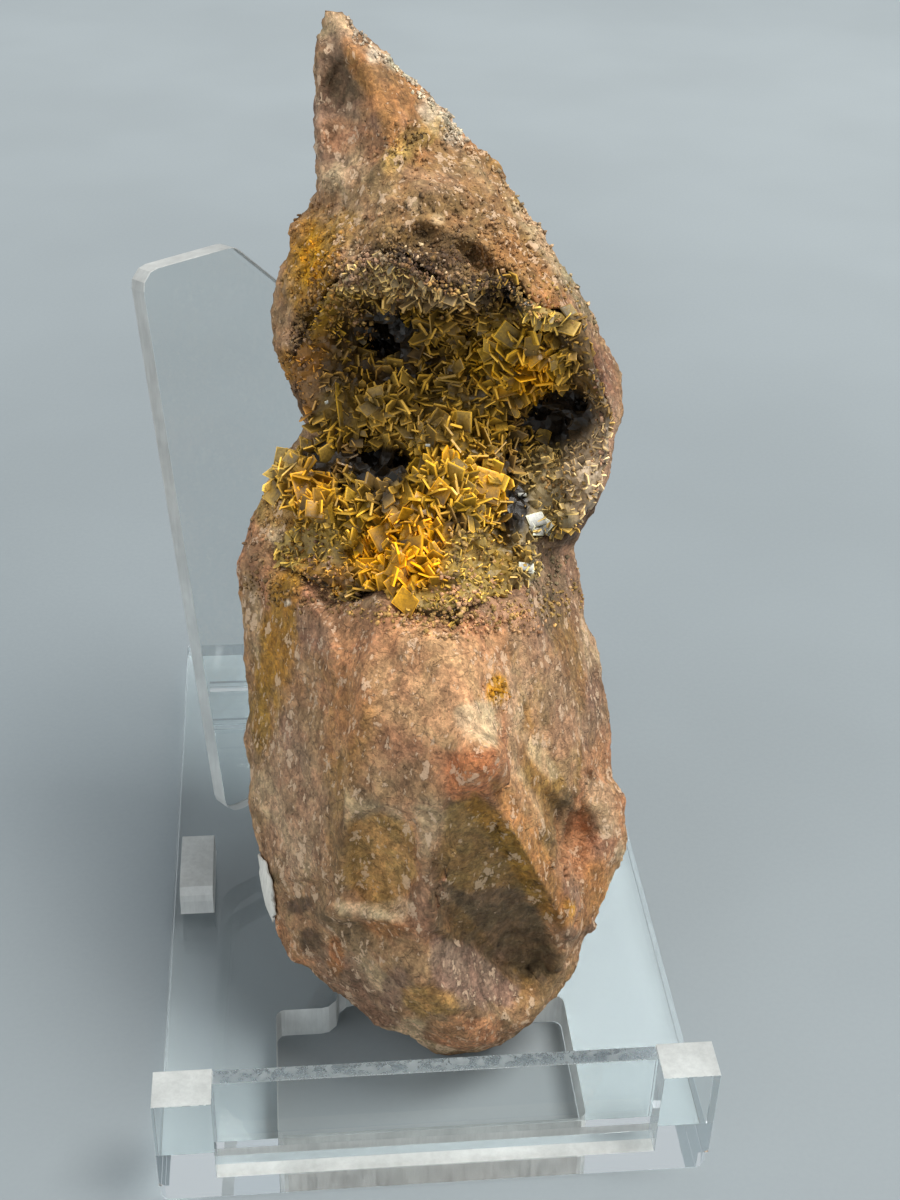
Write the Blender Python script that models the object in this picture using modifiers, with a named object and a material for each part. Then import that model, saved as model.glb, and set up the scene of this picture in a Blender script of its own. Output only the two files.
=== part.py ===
"""Yellow barite crystals in the hollow of a broken host rock, standing on a clear plastic easel.

Lengths in the tables are millimetres. The origin is the middle of the stand base's underside,
+X is to the viewer's right, -Y is towards the viewer and +Z is up.
"""

import itertools
import math
import random

import bmesh
import bpy
from mathutils import Matrix, Vector, noise
from mathutils.bvhtree import BVHTree

MM = 0.001
FIT_GAP = 0.3  # clearance between neighbouring pieces
SINK = 2.0  # how far a joined shape reaches into the body it grows from
PAST = 5.0  # how far a cutter runs past the faces it cuts

# Stand base
BASE_WIDTH = 60.0
BASE_DEPTH = 98.0
BASE_THICKNESS = 4.4
BASE_EDGE_ROUND = 1.2
LIP_HEIGHT = 14.8
LIP_THICKNESS = 1.8
POST_WIDTH = 6.2
POST_DEPTH = 4.6
POST_RISE = 0.15  # the posts stand a little above the lip
LEDGE_HEIGHT = 3.2
WINDOW_LOW = (-17.2, -44.0)
WINDOW_HIGH = (16.9, -26.8)
WINDOW_ROUND = 1.0
WINDOW_BAY = (-9.9, 9.6, -22.6)  # left, right and rear edge of the window's narrower rear part
BAY_ROUND = 2.0
EAR_SIZE = (4.1, 11.4, 3.8)
EAR_MIDDLE_Y = -4.2
EAR_INSET = 1.1
EAR_ROUND = 1.8
RIDGE_ROWS_Y = (28.0, 37.0)
RIDGE_SIZE = (54.0, 1.4, 0.9)

# Back plate, drawn flat: x runs along its lower edge and y up its left edge
PLATE_THICKNESS = 2.6
PLATE_WIDTH = 45.0
PLATE_HORN_WIDTH = 12.4
PLATE_HORN_HEIGHT = 71.2
PLATE_NOTCH_HEIGHT = 60.8
PLATE_CORNER_ROUND = 2.2
PLATE_CORNER = (-22.9, -0.7, 12.2)  # lower left corner, front face
PLATE_TURN = 35.6  # degrees about the vertical
PLATE_LEAN = 8.7  # degrees back from the vertical
TONGUE_SPAN = (15.0, 35.0)  # the part of the lower edge that plugs into the socket
TONGUE_LENGTH = 7.4
TONGUE_INSET = 0.2  # the tongue is thinner than the plate by this on each face
SOCKET_WALL = 2.4
SOCKET_HEIGHT = 7.0
SOCKET_ROUND = 1.4

# Host rock, as blocks between their corners
LOWER_BLOCK = (
    # foot
    (3.0, -30.4, -0.1), (7.5, -30.6, -0.1), (10.8, -31.2, 2.6), (0.0, -31.2, 1.4), (4.6, -36.5, 7.6),
    # underside rising to the left and to the right
    (-3.0, -32.3, 5.0), (-9.4, -29.0, 10.0), (-15.8, -27.0, 13.6), (-18.2, -23.0, 20.0), (-8.6, -32.0, 14.6),
    (11.2, -31.8, 5.8), (15.8, -29.0, 10.4), (19.6, -26.0, 15.0), (22.0, -24.0, 18.6),
    # left side
    (-18.9, -17.0, 32.0), (-19.4, -10.5, 49.0), (-19.6, -8.0, 55.6), (-18.3, -5.8, 60.6), (-15.6, -4.0, 64.4),
    # right side
    (22.0, -15.5, 36.0), (20.6, -12.4, 44.0), (18.4, -10.0, 50.0), (17.2, -7.5, 56.2),
    # front: the peak, the ridge that falls from it to the right, the ridge on the left
    (2.1, -41.4, 54.0), (4.1, -41.4, 47.2), (8.3, -38.8, 37.7), (12.6, -34.8, 27.0), (16.8, -29.2, 17.4),
    (-5.0, -27.0, 61.8), (-2.3, -29.8, 59.4), (0.3, -34.8, 56.8), (-6.4, -33.4, 55.4), (-8.6, -36.4, 40.2),
    (-9.8, -34.8, 27.8), (-3.1, -38.8, 29.0), (-0.1, -39.8, 28.8), (-2.0, -39.6, 20.9), (2.5, -39.2, 16.2),
    (8.6, -36.2, 10.6), (5.7, -37.0, 9.7), (-0.2, -38.6, 15.5),
    # right ridge, from the hollow's lip to the groove
    (9.6, -25.0, 57.4), (12.4, -26.8, 50.0), (14.8, -26.4, 42.0), (17.0, -24.4, 35.0),
    # crest of the hollow's lip and left shoulder
    (-9.5, -14.0, 66.2), (-4.0, -17.5, 69.0), (1.5, -18.5, 70.6), (6.8, -17.5, 68.8), (-14.4, -6.0, 65.6),
    # back
    (-11.0, 4.0, 66.0), (0.0, 10.0, 66.0), (11.0, 6.0, 62.0),
    (-13.0, 8.0, 60.0), (12.0, 9.0, 55.0), (2.0, 17.0, 50.0), (-9.0, 14.0, 48.0), (-14.0, 4.0, 44.0),
    (-11.0, -2.0, 26.0), (14.0, -3.0, 27.0), (2.0, 4.0, 28.0), (8.0, -17.0, 10.0), (-5.0, -18.0, 11.0),
)
UPPER_BLOCK = (
    # brow over the hollow
    (-9.4, -4.0, 85.8), (-3.0, -10.0, 88.6), (3.0, -12.5, 89.6), (10.6, -12.0, 87.4), (17.6, -7.0, 82.2),
    # right side, down to the tip beside the hollow
    (18.7, 4.0, 82.4), (20.9, 1.8, 77.0), (22.7, 0.4, 73.2), (22.7, -1.4, 70.0), (21.2, -4.4, 63.0),
    (18.6, -6.8, 58.6), (16.8, -8.0, 56.8), (19.6, -11.0, 75.0), (19.0, -12.5, 66.0), (15.6, -13.5, 59.6),
    # left side
    (-13.0, 6.2, 88.0), (-14.6, 3.6, 81.2), (-13.6, 0.4, 74.4), (-11.8, -1.6, 69.8), (-10.0, 0.0, 62.0),
    # top, up to the foot of the spire
    (-3.0, 2.6, 96.4), (2.0, 5.0, 97.4), (6.2, 6.4, 96.0), (9.4, 8.6, 93.8), (12.9, 6.4, 88.4),
    # back
    (-8.0, 20.2, 66.0), (-6.0, 20.6, 80.0), (6.0, 20.5, 82.0), (15.0, 14.0, 74.0), (13.0, 12.0, 60.0),
    (-8.0, 15.0, 58.0), (-6.0, 20.0, 90.0),
)
SPIRE = (
    (-7.6, 14.1, 109.2), (-8.9, 13.8, 108.0), (-9.8, 13.2, 106.4), (-5.4, 13.4, 107.6), (-9.4, 12.6, 104.0),
    (-8.4, 10.6, 99.6), (-8.4, 8.6, 96.0), (-9.8, 7.8, 92.0), (0.4, 12.4, 103.6), (4.4, 10.8, 99.8),
    (8.2, 9.1, 95.7), (11.4, 7.6, 92.0), (-4.4, 9.0, 104.6), (-2.8, 5.8, 100.6), (-3.0, 3.4, 97.0),
    (-8.2, 5.0, 93.2), (3.0, 3.0, 90.0), (-5.5, 18.5, 101.0), (-9.0, 18.0, 93.0), (3.0, 18.5, 93.0),
    (-8.0, 20.0, 86.0), (8.0, 17.0, 86.0),
)
LEFT_KNOB = (
    (-14.6, 3.2, 79.2), (-14.7, 1.4, 76.4), (-13.4, -1.0, 74.4), (-12.0, -3.0, 78.0), (-11.0, 0.0, 82.0),
    (-10.0, 4.0, 73.0), (-11.0, 7.0, 79.0),
)
RIGHT_LUMP = (
    (24.2, -21.0, 24.4), (23.2, -19.0, 29.6), (20.8, -24.0, 31.0), (21.0, -25.5, 24.0), (17.0, -22.0, 33.0),
    (17.0, -18.0, 22.0), (22.0, -13.0, 27.0), (23.8, -22.8, 21.0),
)
# Scoops broken out of the blocks: places around the rim, then places on the floor
SCOOPS = {
    "under the peak": (
        ((2.5, -41.2, 50.6), (0.5, -39.2, 37.0), (-0.2, -39.8, 29.0), (-1.8, -39.6, 21.4), (2.6, -39.2, 16.6),
         (8.6, -36.2, 11.0), (14.2, -30.4, 13.4), (12.2, -34.6, 27.4), (7.8, -38.6, 38.0), (3.8, -41.0, 46.4)),
        ((4.0, -38.0, 41.0), (6.4, -34.0, 30.6), (9.8, -30.4, 19.6), (13.0, -28.6, 12.4), (5.7, -34.4, 17.4),
         (0.4, -38.4, 27.0)),
    ),
    "above the ledge": (
        ((-8.4, -35.8, 40.6), (-2.2, -38.4, 42.0), (-3.1, -38.4, 30.2), (-9.2, -35.0, 29.4)),
        ((-5.2, -35.2, 36.0), (-5.4, -35.0, 31.6), (-7.6, -33.8, 32.0)),
    ),
    "spire, left": (
        ((-6.7, 10.4, 105.0), (-9.6, 10.6, 101.6), (-9.8, 8.4, 97.0), (-8.2, 5.0, 93.8), (-3.2, 3.6, 97.2),
         (-3.2, 5.6, 100.4), (-4.8, 8.4, 103.4)),
        ((-6.7, 12.2, 101.8), (-4.6, 7.6, 98.0), (-7.0, 8.6, 96.8)),
    ),
    "groove, right": (
        ((15.6, -25.6, 37.0), (17.8, -23.8, 35.0), (19.6, -23.4, 27.0), (17.6, -26.6, 22.0), (14.8, -28.8, 27.0)),
        ((16.6, -22.6, 32.4), (17.6, -22.4, 27.0)),
    ),
    "pit in the brow": (
        ((-2.6, -4.0, 93.0), (2.6, -5.0, 93.6), (3.4, -7.4, 90.6), (-1.6, -7.6, 90.4)),
        ((0.6, -2.2, 90.4),),
    ),
    "pit in the brow, right": (
        ((3.4, -4.6, 91.0), (7.8, -6.0, 89.8), (8.6, -9.4, 87.8), (4.0, -9.6, 88.4)),
        ((6.0, -4.6, 87.2),),
    ),
}
SCOOP_OUTWARD = (-0.07, -0.83, 0.55)
SCOOP_REACH = 14.0
SEAT_LOW_Y = -27.15  # the rock is bruised flat where it bears on the window's rear edge
ROCK_VOXEL = 1.0
ROCK_ROUGHNESS = ((14.0, 0.7), (5.5, 0.35), (2.6, 0.12))  # wave length and height of each layer of lumps
ROCK_CREST = 0.5  # share of sharp crests in the lumps
ROCK_SETTLE = 0.1  # share of the lumps' height by which they are set in, so that the blocks keep their size
ROCK_TRIANGLES = 3500
REST_LOW = (-30.0, -20.0, -60.0)  # what is cut from the rock behind the back plate's front face
REST_HIGH = (80.0, 120.0, FIT_GAP)
SEAT_HALF = 40.0

# Hollow: how far its crystals reach, as seen from a point in its mouth
HOLLOW_EYE = (0.0, -28.0, 80.0)
CRYSTAL_TIPS = {
    "lip crest left": (-9.5, -14.0, 66.0),
    "lip crest": (-4.0, -17.0, 68.8),
    "lip crest middle": (1.5, -18.0, 70.8),
    "lip crest right": (7.0, -17.0, 68.8),
    "lip corner": (10.4, -17.0, 62.0),
    "shelf": (1.5, -6.0, 70.0),
    "shelf front": (1.0, -9.5, 66.0),
    "shoulder back": (-13.6, -4.6, 65.8),
    "back left": (-5.0, 0.0, 74.5),
    "back": (3.0, 0.0, 77.0),
    "back right": (10.5, -5.0, 77.5),
    "right wall low": (13.5, -8.0, 64.5),
    "rim right": (18.0, -8.0, 70.5),
    "left wall": (-9.0, -3.0, 72.5),
    "left wall high": (-10.6, -2.0, 78.5),
    "roof left": (-8.0, -3.0, 83.0),
    "roof": (1.0, -6.0, 86.5),
    "roof right": (11.0, -6.0, 85.0),
    "shoulder": (-14.0, -10.0, 64.4),
    "shoulder front": (-12.6, -16.0, 60.6),
    "lip front": (1.5, -23.0, 66.0),
}
HOLLOW_RIM = {
    "shoulder, low": (-18.4, -9.0, 56.0),
    "shoulder, high": (-18.0, -3.0, 62.6),
    "left lip": (-10.0, -20.0, 59.0),
    "left ridge": (-4.6, -25.5, 62.6),
    "tongue": (-2.1, -27.5, 61.0),
    "right lip": (3.9, -26.0, 62.8),
    "right ridge": (9.6, -23.5, 59.2),
    "corner": (15.4, -14.0, 57.6),
    "right tip": (16.6, -12.6, 60.0),
    "right side": (19.8, -10.6, 68.0),
    "right, high": (19.4, -9.0, 76.0),
    "brow, far right": (17.4, -7.6, 81.8),
    "brow, right": (10.8, -11.6, 86.8),
    "brow": (2.6, -12.0, 89.3),
    "brow, left": (-9.0, -5.0, 85.3),
    "left knob": (-13.6, -1.4, 79.0),
    "notch": (-12.6, -1.0, 71.0),
    "air above": (0.0, -30.0, 94.0),
    "air left": (-17.0, -28.0, 78.0),
    "air right": (19.0, -28.0, 80.0),
    "air in front": (0.0, -44.0, 82.0),
    "air below": (0.0, -40.0, 68.0),
}
HOLLOW_PITS = {  # place, extra depth, radius in degrees
    "upper": ((-2.2, 3.0, 77.6), 7.0, 8.0),
    "right": ((16.0, -1.0, 69.4), 7.0, 8.0),
    "lower": ((-2.8, -8.0, 66.6), 6.0, 8.0),
    "corner": ((10.8, -11.0, 63.2), 5.0, 7.0),
}
HOLLOW_BLEND = 0.006  # how softly the hollow's wall runs from place to place
HOLLOW_KEPT = 0.38  # share of the ball's faces that are kept
CRYSTAL_DEPTH = 2.8  # from the crystals' tips to the rock
RIM_DEPTH = 0.4
LINING_GAP = 0.45
LINING_THICKNESS = 1.1
LINING_LUMP = 0.4
LINING_LUMP_LENGTH = 3.0
CRYSTAL_COUNT = 100
CRYSTAL_CEILING = 84.0  # above this height the hollow has only a thin crust
CRYSTAL_WIDTH = (2.8, 4.4)
CRYSTAL_THICKNESS = (0.6, 0.9)
CRYSTAL_OUTLINE = ((-0.3, 0.0), (0.5, 0.1), (0.34, 1.0), (-0.5, 0.8))  # across and up, in widths and heights
CRYSTAL_SLENDER = (0.9, 1.35)  # height over width
CRYSTAL_LEAN = 0.7
CRYSTAL_ROOT = 1.0  # how deep a plate is set in the lining
CRYSTAL_MARGIN = 0.15
CRYSTAL_SEED = 11

# Label on the rock's left side
LABEL_MIDDLE = (-17.8, -23.2, 20.6)
LABEL_SIZE = (8.2, 8.6, 0.5)  # along the rock, up the rock, thickness
LABEL_FACING = (-0.94, -0.33, 0.04)
LABEL_ROUND = 3.9
LABEL_BED_MARGIN = 0.3


def mm(*values):
    return Vector(values) * MM


def clear_scene():
    for old in list(bpy.data.objects):
        bpy.data.objects.remove(old)


def new_collection(name):
    group = bpy.data.collections.new(name)
    bpy.context.scene.collection.children.link(group)
    return group


def plain_material(name, colour, roughness, transmission=0.0):
    material = bpy.data.materials.new(name)
    material.use_nodes = True
    shader = material.node_tree.nodes["Principled BSDF"]
    shader.inputs["Base Color"].default_value = (*colour, 1.0)
    shader.inputs["Roughness"].default_value = roughness
    shader.inputs["Metallic"].default_value = 0.0
    shader.inputs["Transmission Weight"].default_value = transmission
    return material


def object_from_bmesh(name, work, group, material=None):
    mesh = bpy.data.meshes.new(name)
    work.to_mesh(mesh)
    work.free()
    if material:
        mesh.materials.append(material)
    piece = bpy.data.objects.new(name, mesh)
    group.objects.link(piece)
    return piece


def bake(piece):
    """Put the evaluated mesh in place of the object's mesh and modifiers."""
    bpy.context.view_layer.update()
    graph = bpy.context.evaluated_depsgraph_get()
    mesh = bpy.data.meshes.new_from_object(piece.evaluated_get(graph))
    piece.modifiers.clear()
    piece.data = mesh


def as_helper(piece):
    piece.hide_render = True
    piece.display_type = "WIRE"
    return piece


def combine(piece, operation, others):
    """Join or cut a piece with helper objects or with a collection of them."""
    modifier = piece.modifiers.new(operation.lower(), "BOOLEAN")
    modifier.operation = operation
    modifier.solver = "EXACT"
    if isinstance(others, bpy.types.Collection):
        modifier.operand_type = "COLLECTION"
        modifier.collection = others
    else:
        modifier.object = others
    bake(piece)


def keep_largest_body(piece):
    """Drop crumbs and the skins of sealed pockets, which are loose from the main body's skin."""
    work = bmesh.new()
    work.from_mesh(piece.data)
    waiting = set(work.verts)
    bodies = []
    while waiting:
        front = [waiting.pop()]
        body = list(front)
        while front:
            vertex = front.pop()
            around = {edge.other_vert(vertex) for edge in vertex.link_edges} & waiting
            waiting -= around
            front.extend(around)
            body.extend(around)
        bodies.append(body)
    bodies.sort(key=len)
    bmesh.ops.delete(work, geom=[vertex for body in bodies[:-1] for vertex in body], context="VERTS")
    work.to_mesh(piece.data)
    work.free()


def hull(name, corners, group):
    """The solid stretched over a list of corners."""
    work = bmesh.new()
    for corner in corners:
        work.verts.new(Vector(corner) * MM)
    found = bmesh.ops.convex_hull(work, input=work.verts)
    inside = {item for item in found["geom_interior"] if isinstance(item, bmesh.types.BMVert)}
    bmesh.ops.delete(work, geom=list(inside), context="VERTS")
    bmesh.ops.recalc_face_normals(work, faces=work.faces)
    return object_from_bmesh(name, work, group)


def box(name, low, high, group):
    work = bmesh.new()
    size = Vector(high) - Vector(low)
    middle = (Vector(high) + Vector(low)) / 2
    place = Matrix.Translation(middle * MM) @ Matrix.Diagonal((*(size * MM), 1.0))
    bmesh.ops.create_cube(work, size=1.0, matrix=place)
    return object_from_bmesh(name, work, group)


def prism(work, outline, thickness):
    """Stretch a flat outline in the XY plane up by a thickness."""
    face = work.faces.new([work.verts.new(mm(x, y, 0.0)) for x, y in outline])
    top = bmesh.ops.extrude_face_region(work, geom=[face])
    moved = [item for item in top["geom"] if isinstance(item, bmesh.types.BMVert)]
    bmesh.ops.translate(work, verts=moved, vec=mm(0.0, 0.0, thickness))
    bmesh.ops.recalc_face_normals(work, faces=work.faces)


def rounded(outline, rounds, steps=3):
    """The outline with each corner replaced by a short arc, of one radius or of a radius for each corner."""
    points = []
    count = len(outline)
    for index in range(count):
        radius = rounds[index] if isinstance(rounds, list) else rounds
        here = Vector(outline[index])
        back = (Vector(outline[index - 1]) - here).normalized()
        ahead = (Vector(outline[(index + 1) % count]) - here).normalized()
        half = back.angle(ahead) / 2
        reach = radius / math.tan(half)
        middle = here + (back + ahead).normalized() * radius / math.sin(half)
        start = here + back * reach - middle
        end = here + ahead * reach - middle
        for step in range(steps + 1):
            blend = start.lerp(end, step / steps).normalized() * radius
            points.append(middle + blend)
    return points


def plate_frame():
    """Where the back plate stands: x along its lower edge, y up it, z out of its front face."""
    turn = math.radians(PLATE_TURN)
    lean = math.radians(PLATE_LEAN)
    along = Vector((math.cos(turn), math.sin(turn), 0.0))
    out = Vector((math.sin(turn), -math.cos(turn), 0.0))
    up = Vector((0.0, 0.0, math.cos(lean))) - out * math.sin(lean)
    out = along.cross(up)
    frame = Matrix((along, up, out)).transposed().to_4x4()
    frame.translation = mm(*PLATE_CORNER)
    return frame


def plate_outline():
    notch = PLATE_WIDTH / 2
    return [
        (0.0, 0.0), (PLATE_WIDTH, 0.0), (PLATE_WIDTH, PLATE_HORN_HEIGHT),
        (PLATE_WIDTH - PLATE_HORN_WIDTH, PLATE_HORN_HEIGHT), (notch, PLATE_NOTCH_HEIGHT),
        (PLATE_HORN_WIDTH, PLATE_HORN_HEIGHT), (0.0, PLATE_HORN_HEIGHT),
    ]


def make_back_plate(parts, helpers, material):
    work = bmesh.new()
    prism(work, rounded(plate_outline(), PLATE_CORNER_ROUND), -PLATE_THICKNESS)
    plate = object_from_bmesh("stand_back_plate", work, parts, material)
    low = (TONGUE_SPAN[0], -TONGUE_LENGTH, TONGUE_INSET - PLATE_THICKNESS)
    high = (TONGUE_SPAN[1], SINK, -TONGUE_INSET)
    tongue = box("tongue", low, high, helpers)
    combine(plate, "UNION", tongue)
    plate.data.transform(plate_frame())
    as_helper(tongue)
    return plate


def make_base(parts, helpers, material):
    half_width = BASE_WIDTH / 2
    front = -BASE_DEPTH / 2
    work = bmesh.new()
    corners = [(-half_width, front), (half_width, front), (half_width, -front), (-half_width, -front)]
    prism(work, rounded(corners, BASE_EDGE_ROUND), BASE_THICKNESS)
    base = object_from_bmesh("stand_base", work, parts, material)

    panel_front = front + POST_DEPTH - LIP_THICKNESS
    panel_half = half_width - SINK
    root = BASE_THICKNESS - SINK
    added = new_collection("base additions")
    box("panel", (-panel_half, panel_front, root), (panel_half, front + POST_DEPTH, LIP_HEIGHT), added)
    for side in (-1, 1):
        ends = sorted((side * half_width, side * (half_width - POST_WIDTH)))
        rear = front + POST_DEPTH + POST_RISE
        box("post", (ends[0], front, root), (ends[1], rear, LIP_HEIGHT + POST_RISE), added)
    work = bmesh.new()
    low_y = EAR_MIDDLE_Y - EAR_SIZE[1] / 2
    top = BASE_THICKNESS + EAR_SIZE[2]
    outline = [(low_y, root), (low_y + EAR_SIZE[1], root), (low_y + EAR_SIZE[1], top), (low_y, top)]
    prism(work, rounded(outline, EAR_ROUND), EAR_SIZE[0])
    upright = Matrix(((0, 0, 1, (EAR_INSET - half_width) * MM), (1, 0, 0, 0), (0, 1, 0, 0), (0, 0, 0, 1)))
    bmesh.ops.transform(work, matrix=upright, verts=work.verts)
    object_from_bmesh("ear", work, added)
    for row in RIDGE_ROWS_Y:
        half = RIDGE_SIZE[0] / 2
        box("ridge", (-half, row, root), (half, row + RIDGE_SIZE[1], BASE_THICKNESS + RIDGE_SIZE[2]), added)
    work = bmesh.new()
    low = -PLATE_THICKNESS - SOCKET_WALL
    outline = [(TONGUE_SPAN[0] - SOCKET_WALL, low), (TONGUE_SPAN[1] + SOCKET_WALL, low),
               (TONGUE_SPAN[1] + SOCKET_WALL, SOCKET_WALL), (TONGUE_SPAN[0] - SOCKET_WALL, SOCKET_WALL)]
    prism(work, rounded(outline, SOCKET_ROUND), -SOCKET_HEIGHT - SINK)
    flat = Matrix.Rotation(math.radians(PLATE_TURN), 4, "Z")
    corner = Vector(PLATE_CORNER)
    flat.translation = mm(corner.x, corner.y, BASE_THICKNESS + SOCKET_HEIGHT)
    mirrored = Matrix.Diagonal((1.0, -1.0, 1.0, 1.0))
    bmesh.ops.transform(work, matrix=flat @ mirrored, verts=work.verts)
    bmesh.ops.recalc_face_normals(work, faces=work.faces)
    object_from_bmesh("socket", work, added)
    combine(base, "UNION", added)

    removed = new_collection("base cuts")
    low_x, low_y = WINDOW_LOW
    high_x, high_y = WINDOW_HIGH
    bay_left, bay_right, bay_rear = WINDOW_BAY
    work = bmesh.new()
    outline = [(low_x, low_y), (high_x, low_y), (high_x, high_y), (bay_right, high_y), (bay_right, bay_rear),
               (bay_left, bay_rear), (bay_left, high_y), (low_x, high_y)]
    rounds = [WINDOW_ROUND] * 3 + [BAY_ROUND] * 4 + [WINDOW_ROUND]
    prism(work, rounded(outline, rounds), BASE_THICKNESS + 2 * PAST)
    bmesh.ops.translate(work, verts=work.verts, vec=mm(0.0, 0.0, -PAST))
    object_from_bmesh("window", work, removed)
    recess = half_width - POST_WIDTH
    high = (recess, panel_front, LIP_HEIGHT + PAST)
    box("label recess", (-recess, front - PAST, LEDGE_HEIGHT), high, removed)
    low = (TONGUE_SPAN[0] - FIT_GAP, -TONGUE_LENGTH - FIT_GAP, TONGUE_INSET - PLATE_THICKNESS - FIT_GAP)
    high = (TONGUE_SPAN[1] + FIT_GAP, PAST, FIT_GAP - TONGUE_INSET)
    slot = box("slot", low, high, removed)
    slot.data.transform(plate_frame())
    combine(base, "DIFFERENCE", removed)
    for group in (added, removed):
        for item in group.objects:
            as_helper(item)
    return base


def lumps(place):
    """How far the broken surface stands out of the plain blocks at a place, in millimetres."""
    total = 0.0
    for length, height in ROCK_ROUGHNESS:
        point = Vector(place) / length
        crest = 1.0 - 3.0 * abs(noise.noise(point * 1.7 + Vector((7.0, 3.0, 5.0))))
        total += height * (noise.noise(point) + ROCK_CREST * crest - ROCK_SETTLE)
    return total


def make_rock_envelope(helpers):
    """The rock before the hollow is cut: blocks joined, bites broken out, then roughened."""
    rock = hull("rock", LOWER_BLOCK, helpers)
    joined = new_collection("rock blocks")
    for name, corners in (("upper", UPPER_BLOCK), ("spire", SPIRE), ("knob", LEFT_KNOB), ("lump", RIGHT_LUMP)):
        as_helper(hull(name, corners, joined))
    combine(rock, "UNION", joined)
    scoops = new_collection("rock scoops")
    for name, (rim, floor) in SCOOPS.items():
        outward = Vector(SCOOP_OUTWARD) * SCOOP_REACH
        raised = [Vector(corner) + outward for corner in rim]
        as_helper(hull(name, (*rim, *floor, *raised), scoops))
    combine(rock, "DIFFERENCE", scoops)

    remesh = rock.modifiers.new("even", "REMESH")
    remesh.mode = "VOXEL"
    remesh.voxel_size = ROCK_VOXEL * MM
    bake(rock)
    mesh = rock.data
    normals = [vertex.normal.copy() for vertex in mesh.vertices]
    for vertex, normal in zip(mesh.vertices, normals):
        vertex.co += normal * lumps(vertex.co / MM) * MM
    thin = rock.modifiers.new("thin", "DECIMATE")
    thin.ratio = ROCK_TRIANGLES / (2 * len(mesh.polygons))
    bake(rock)
    return rock


def hollow_reach(direction):
    """Distance from the eye to the hollow's wall along a direction, in millimetres."""
    eye = Vector(HOLLOW_EYE)
    total = 0.0
    weights = 0.0
    for places, depth in ((CRYSTAL_TIPS, CRYSTAL_DEPTH), (HOLLOW_RIM, RIM_DEPTH)):
        for place in places.values():
            ray = Vector(place) - eye
            angle = direction.angle(ray)
            weight = 1.0 / (angle * angle + HOLLOW_BLEND) ** 2
            total += weight * (ray.length + depth)
            weights += weight
    reach = total / weights
    for place, depth, radius in HOLLOW_PITS.values():
        angle = math.degrees(direction.angle(Vector(place) - eye))
        reach += depth * math.exp(-((angle / radius) ** 4))
    return reach


def make_hollow(helpers):
    """A closed ball around the eye that fills the hollow up to the rock, thinned to the faces it needs."""
    work = bmesh.new()
    bmesh.ops.create_icosphere(work, subdivisions=4, radius=1.0)
    for vertex in work.verts:
        direction = vertex.co.normalized()
        vertex.co = mm(*(Vector(HOLLOW_EYE) + direction * hollow_reach(direction)))
    ball = object_from_bmesh("hollow", work, helpers)
    thin = ball.modifiers.new("thin", "DECIMATE")
    thin.ratio = HOLLOW_KEPT
    bake(ball)
    return ball


def shrunk(name, ball, inset, lump, group):
    """The same ball with its skin pulled in towards the eye, evenly or in lumps."""
    eye = mm(*HOLLOW_EYE)
    inner = ball.copy()
    inner.data = ball.data.copy()
    inner.name = name
    group.objects.link(inner)
    for vertex in inner.data.vertices:
        ray = vertex.co - eye
        pulled = inset + lump * (1.0 + noise.noise(vertex.co / MM / LINING_LUMP_LENGTH))
        vertex.co = eye + ray * (1.0 - pulled * MM / ray.length)
    return inner


def tablet_corners(rng, place, outward):
    """Corners of one thin lozenge-shaped crystal plate that stands on the lining at a place."""
    width = rng.uniform(*CRYSTAL_WIDTH)
    height = width * rng.uniform(*CRYSTAL_SLENDER)
    thickness = rng.uniform(*CRYSTAL_THICKNESS)
    lean = Vector([rng.gauss(0.0, CRYSTAL_LEAN) for _ in range(3)])
    up = (outward + lean).normalized()
    side = up.cross(Vector([rng.gauss(0.0, 1.0) for _ in range(3)])).normalized()
    out = side.cross(up)
    base = place - up * CRYSTAL_ROOT
    return [
        base + side * across * width + up * along * height + out * face * thickness
        for across, along in CRYSTAL_OUTLINE
        for face in (-0.5, 0.5)
    ]


def mesh_tree(piece):
    work = bmesh.new()
    work.from_mesh(piece.data)
    tree = BVHTree.FromBMesh(work)
    work.free()
    return tree


def room_test(skin):
    """A measure of how far a place is from the skin that the crystals stay inside, seen from the eye."""
    tree = mesh_tree(skin)
    eye = mm(*HOLLOW_EYE)

    def room(place):
        ray = place * MM - eye
        _, _, _, reach = tree.ray_cast(eye, ray.normalized())
        return (reach - ray.length) / MM - CRYSTAL_MARGIN

    return room


def held_in_hollow(corners, room):
    """The corners, each pulled towards the eye until it is clear of the rock, or None with rock between them."""
    eye = Vector(HOLLOW_EYE)
    held = [corner + (corner - eye).normalized() * min(0.0, room(corner)) for corner in corners]
    if any(room((one + other) / 2) < 0.0 for one, other in itertools.combinations(held, 2)):
        return None
    return held


def make_crust(parts, helpers, ball, envelope, material):
    crust = shrunk("barite_crystals", ball, LINING_GAP, 0.0, helpers)
    room = room_test(crust)
    inner = shrunk("lining inside", ball, LINING_GAP + LINING_THICKNESS, LINING_LUMP, helpers)
    combine(crust, "DIFFERENCE", inner)
    combine(crust, "INTERSECT", envelope)
    as_helper(inner)

    rng = random.Random(CRYSTAL_SEED)
    eye = Vector(HOLLOW_EYE)
    inside = solid_test(envelope)
    ceiling = CRYSTAL_CEILING * MM
    faces = [face for face in inner.data.polygons if face.center.z < ceiling and inside(face.center)]
    tablets = new_collection("crystal plates")
    while len(tablets.objects) < CRYSTAL_COUNT:
        face = rng.choices(faces, weights=[face.area for face in faces])[0]
        place = face.center / MM
        corners = held_in_hollow(tablet_corners(rng, place, (eye - place).normalized()), room)
        if corners:
            as_helper(hull("plate", corners, tablets))
    combine(crust, "UNION", tablets)
    keep_largest_body(crust)
    helpers.objects.unlink(crust)
    parts.objects.link(crust)
    crust.data.materials.clear()
    crust.data.materials.append(material)
    return crust


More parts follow.
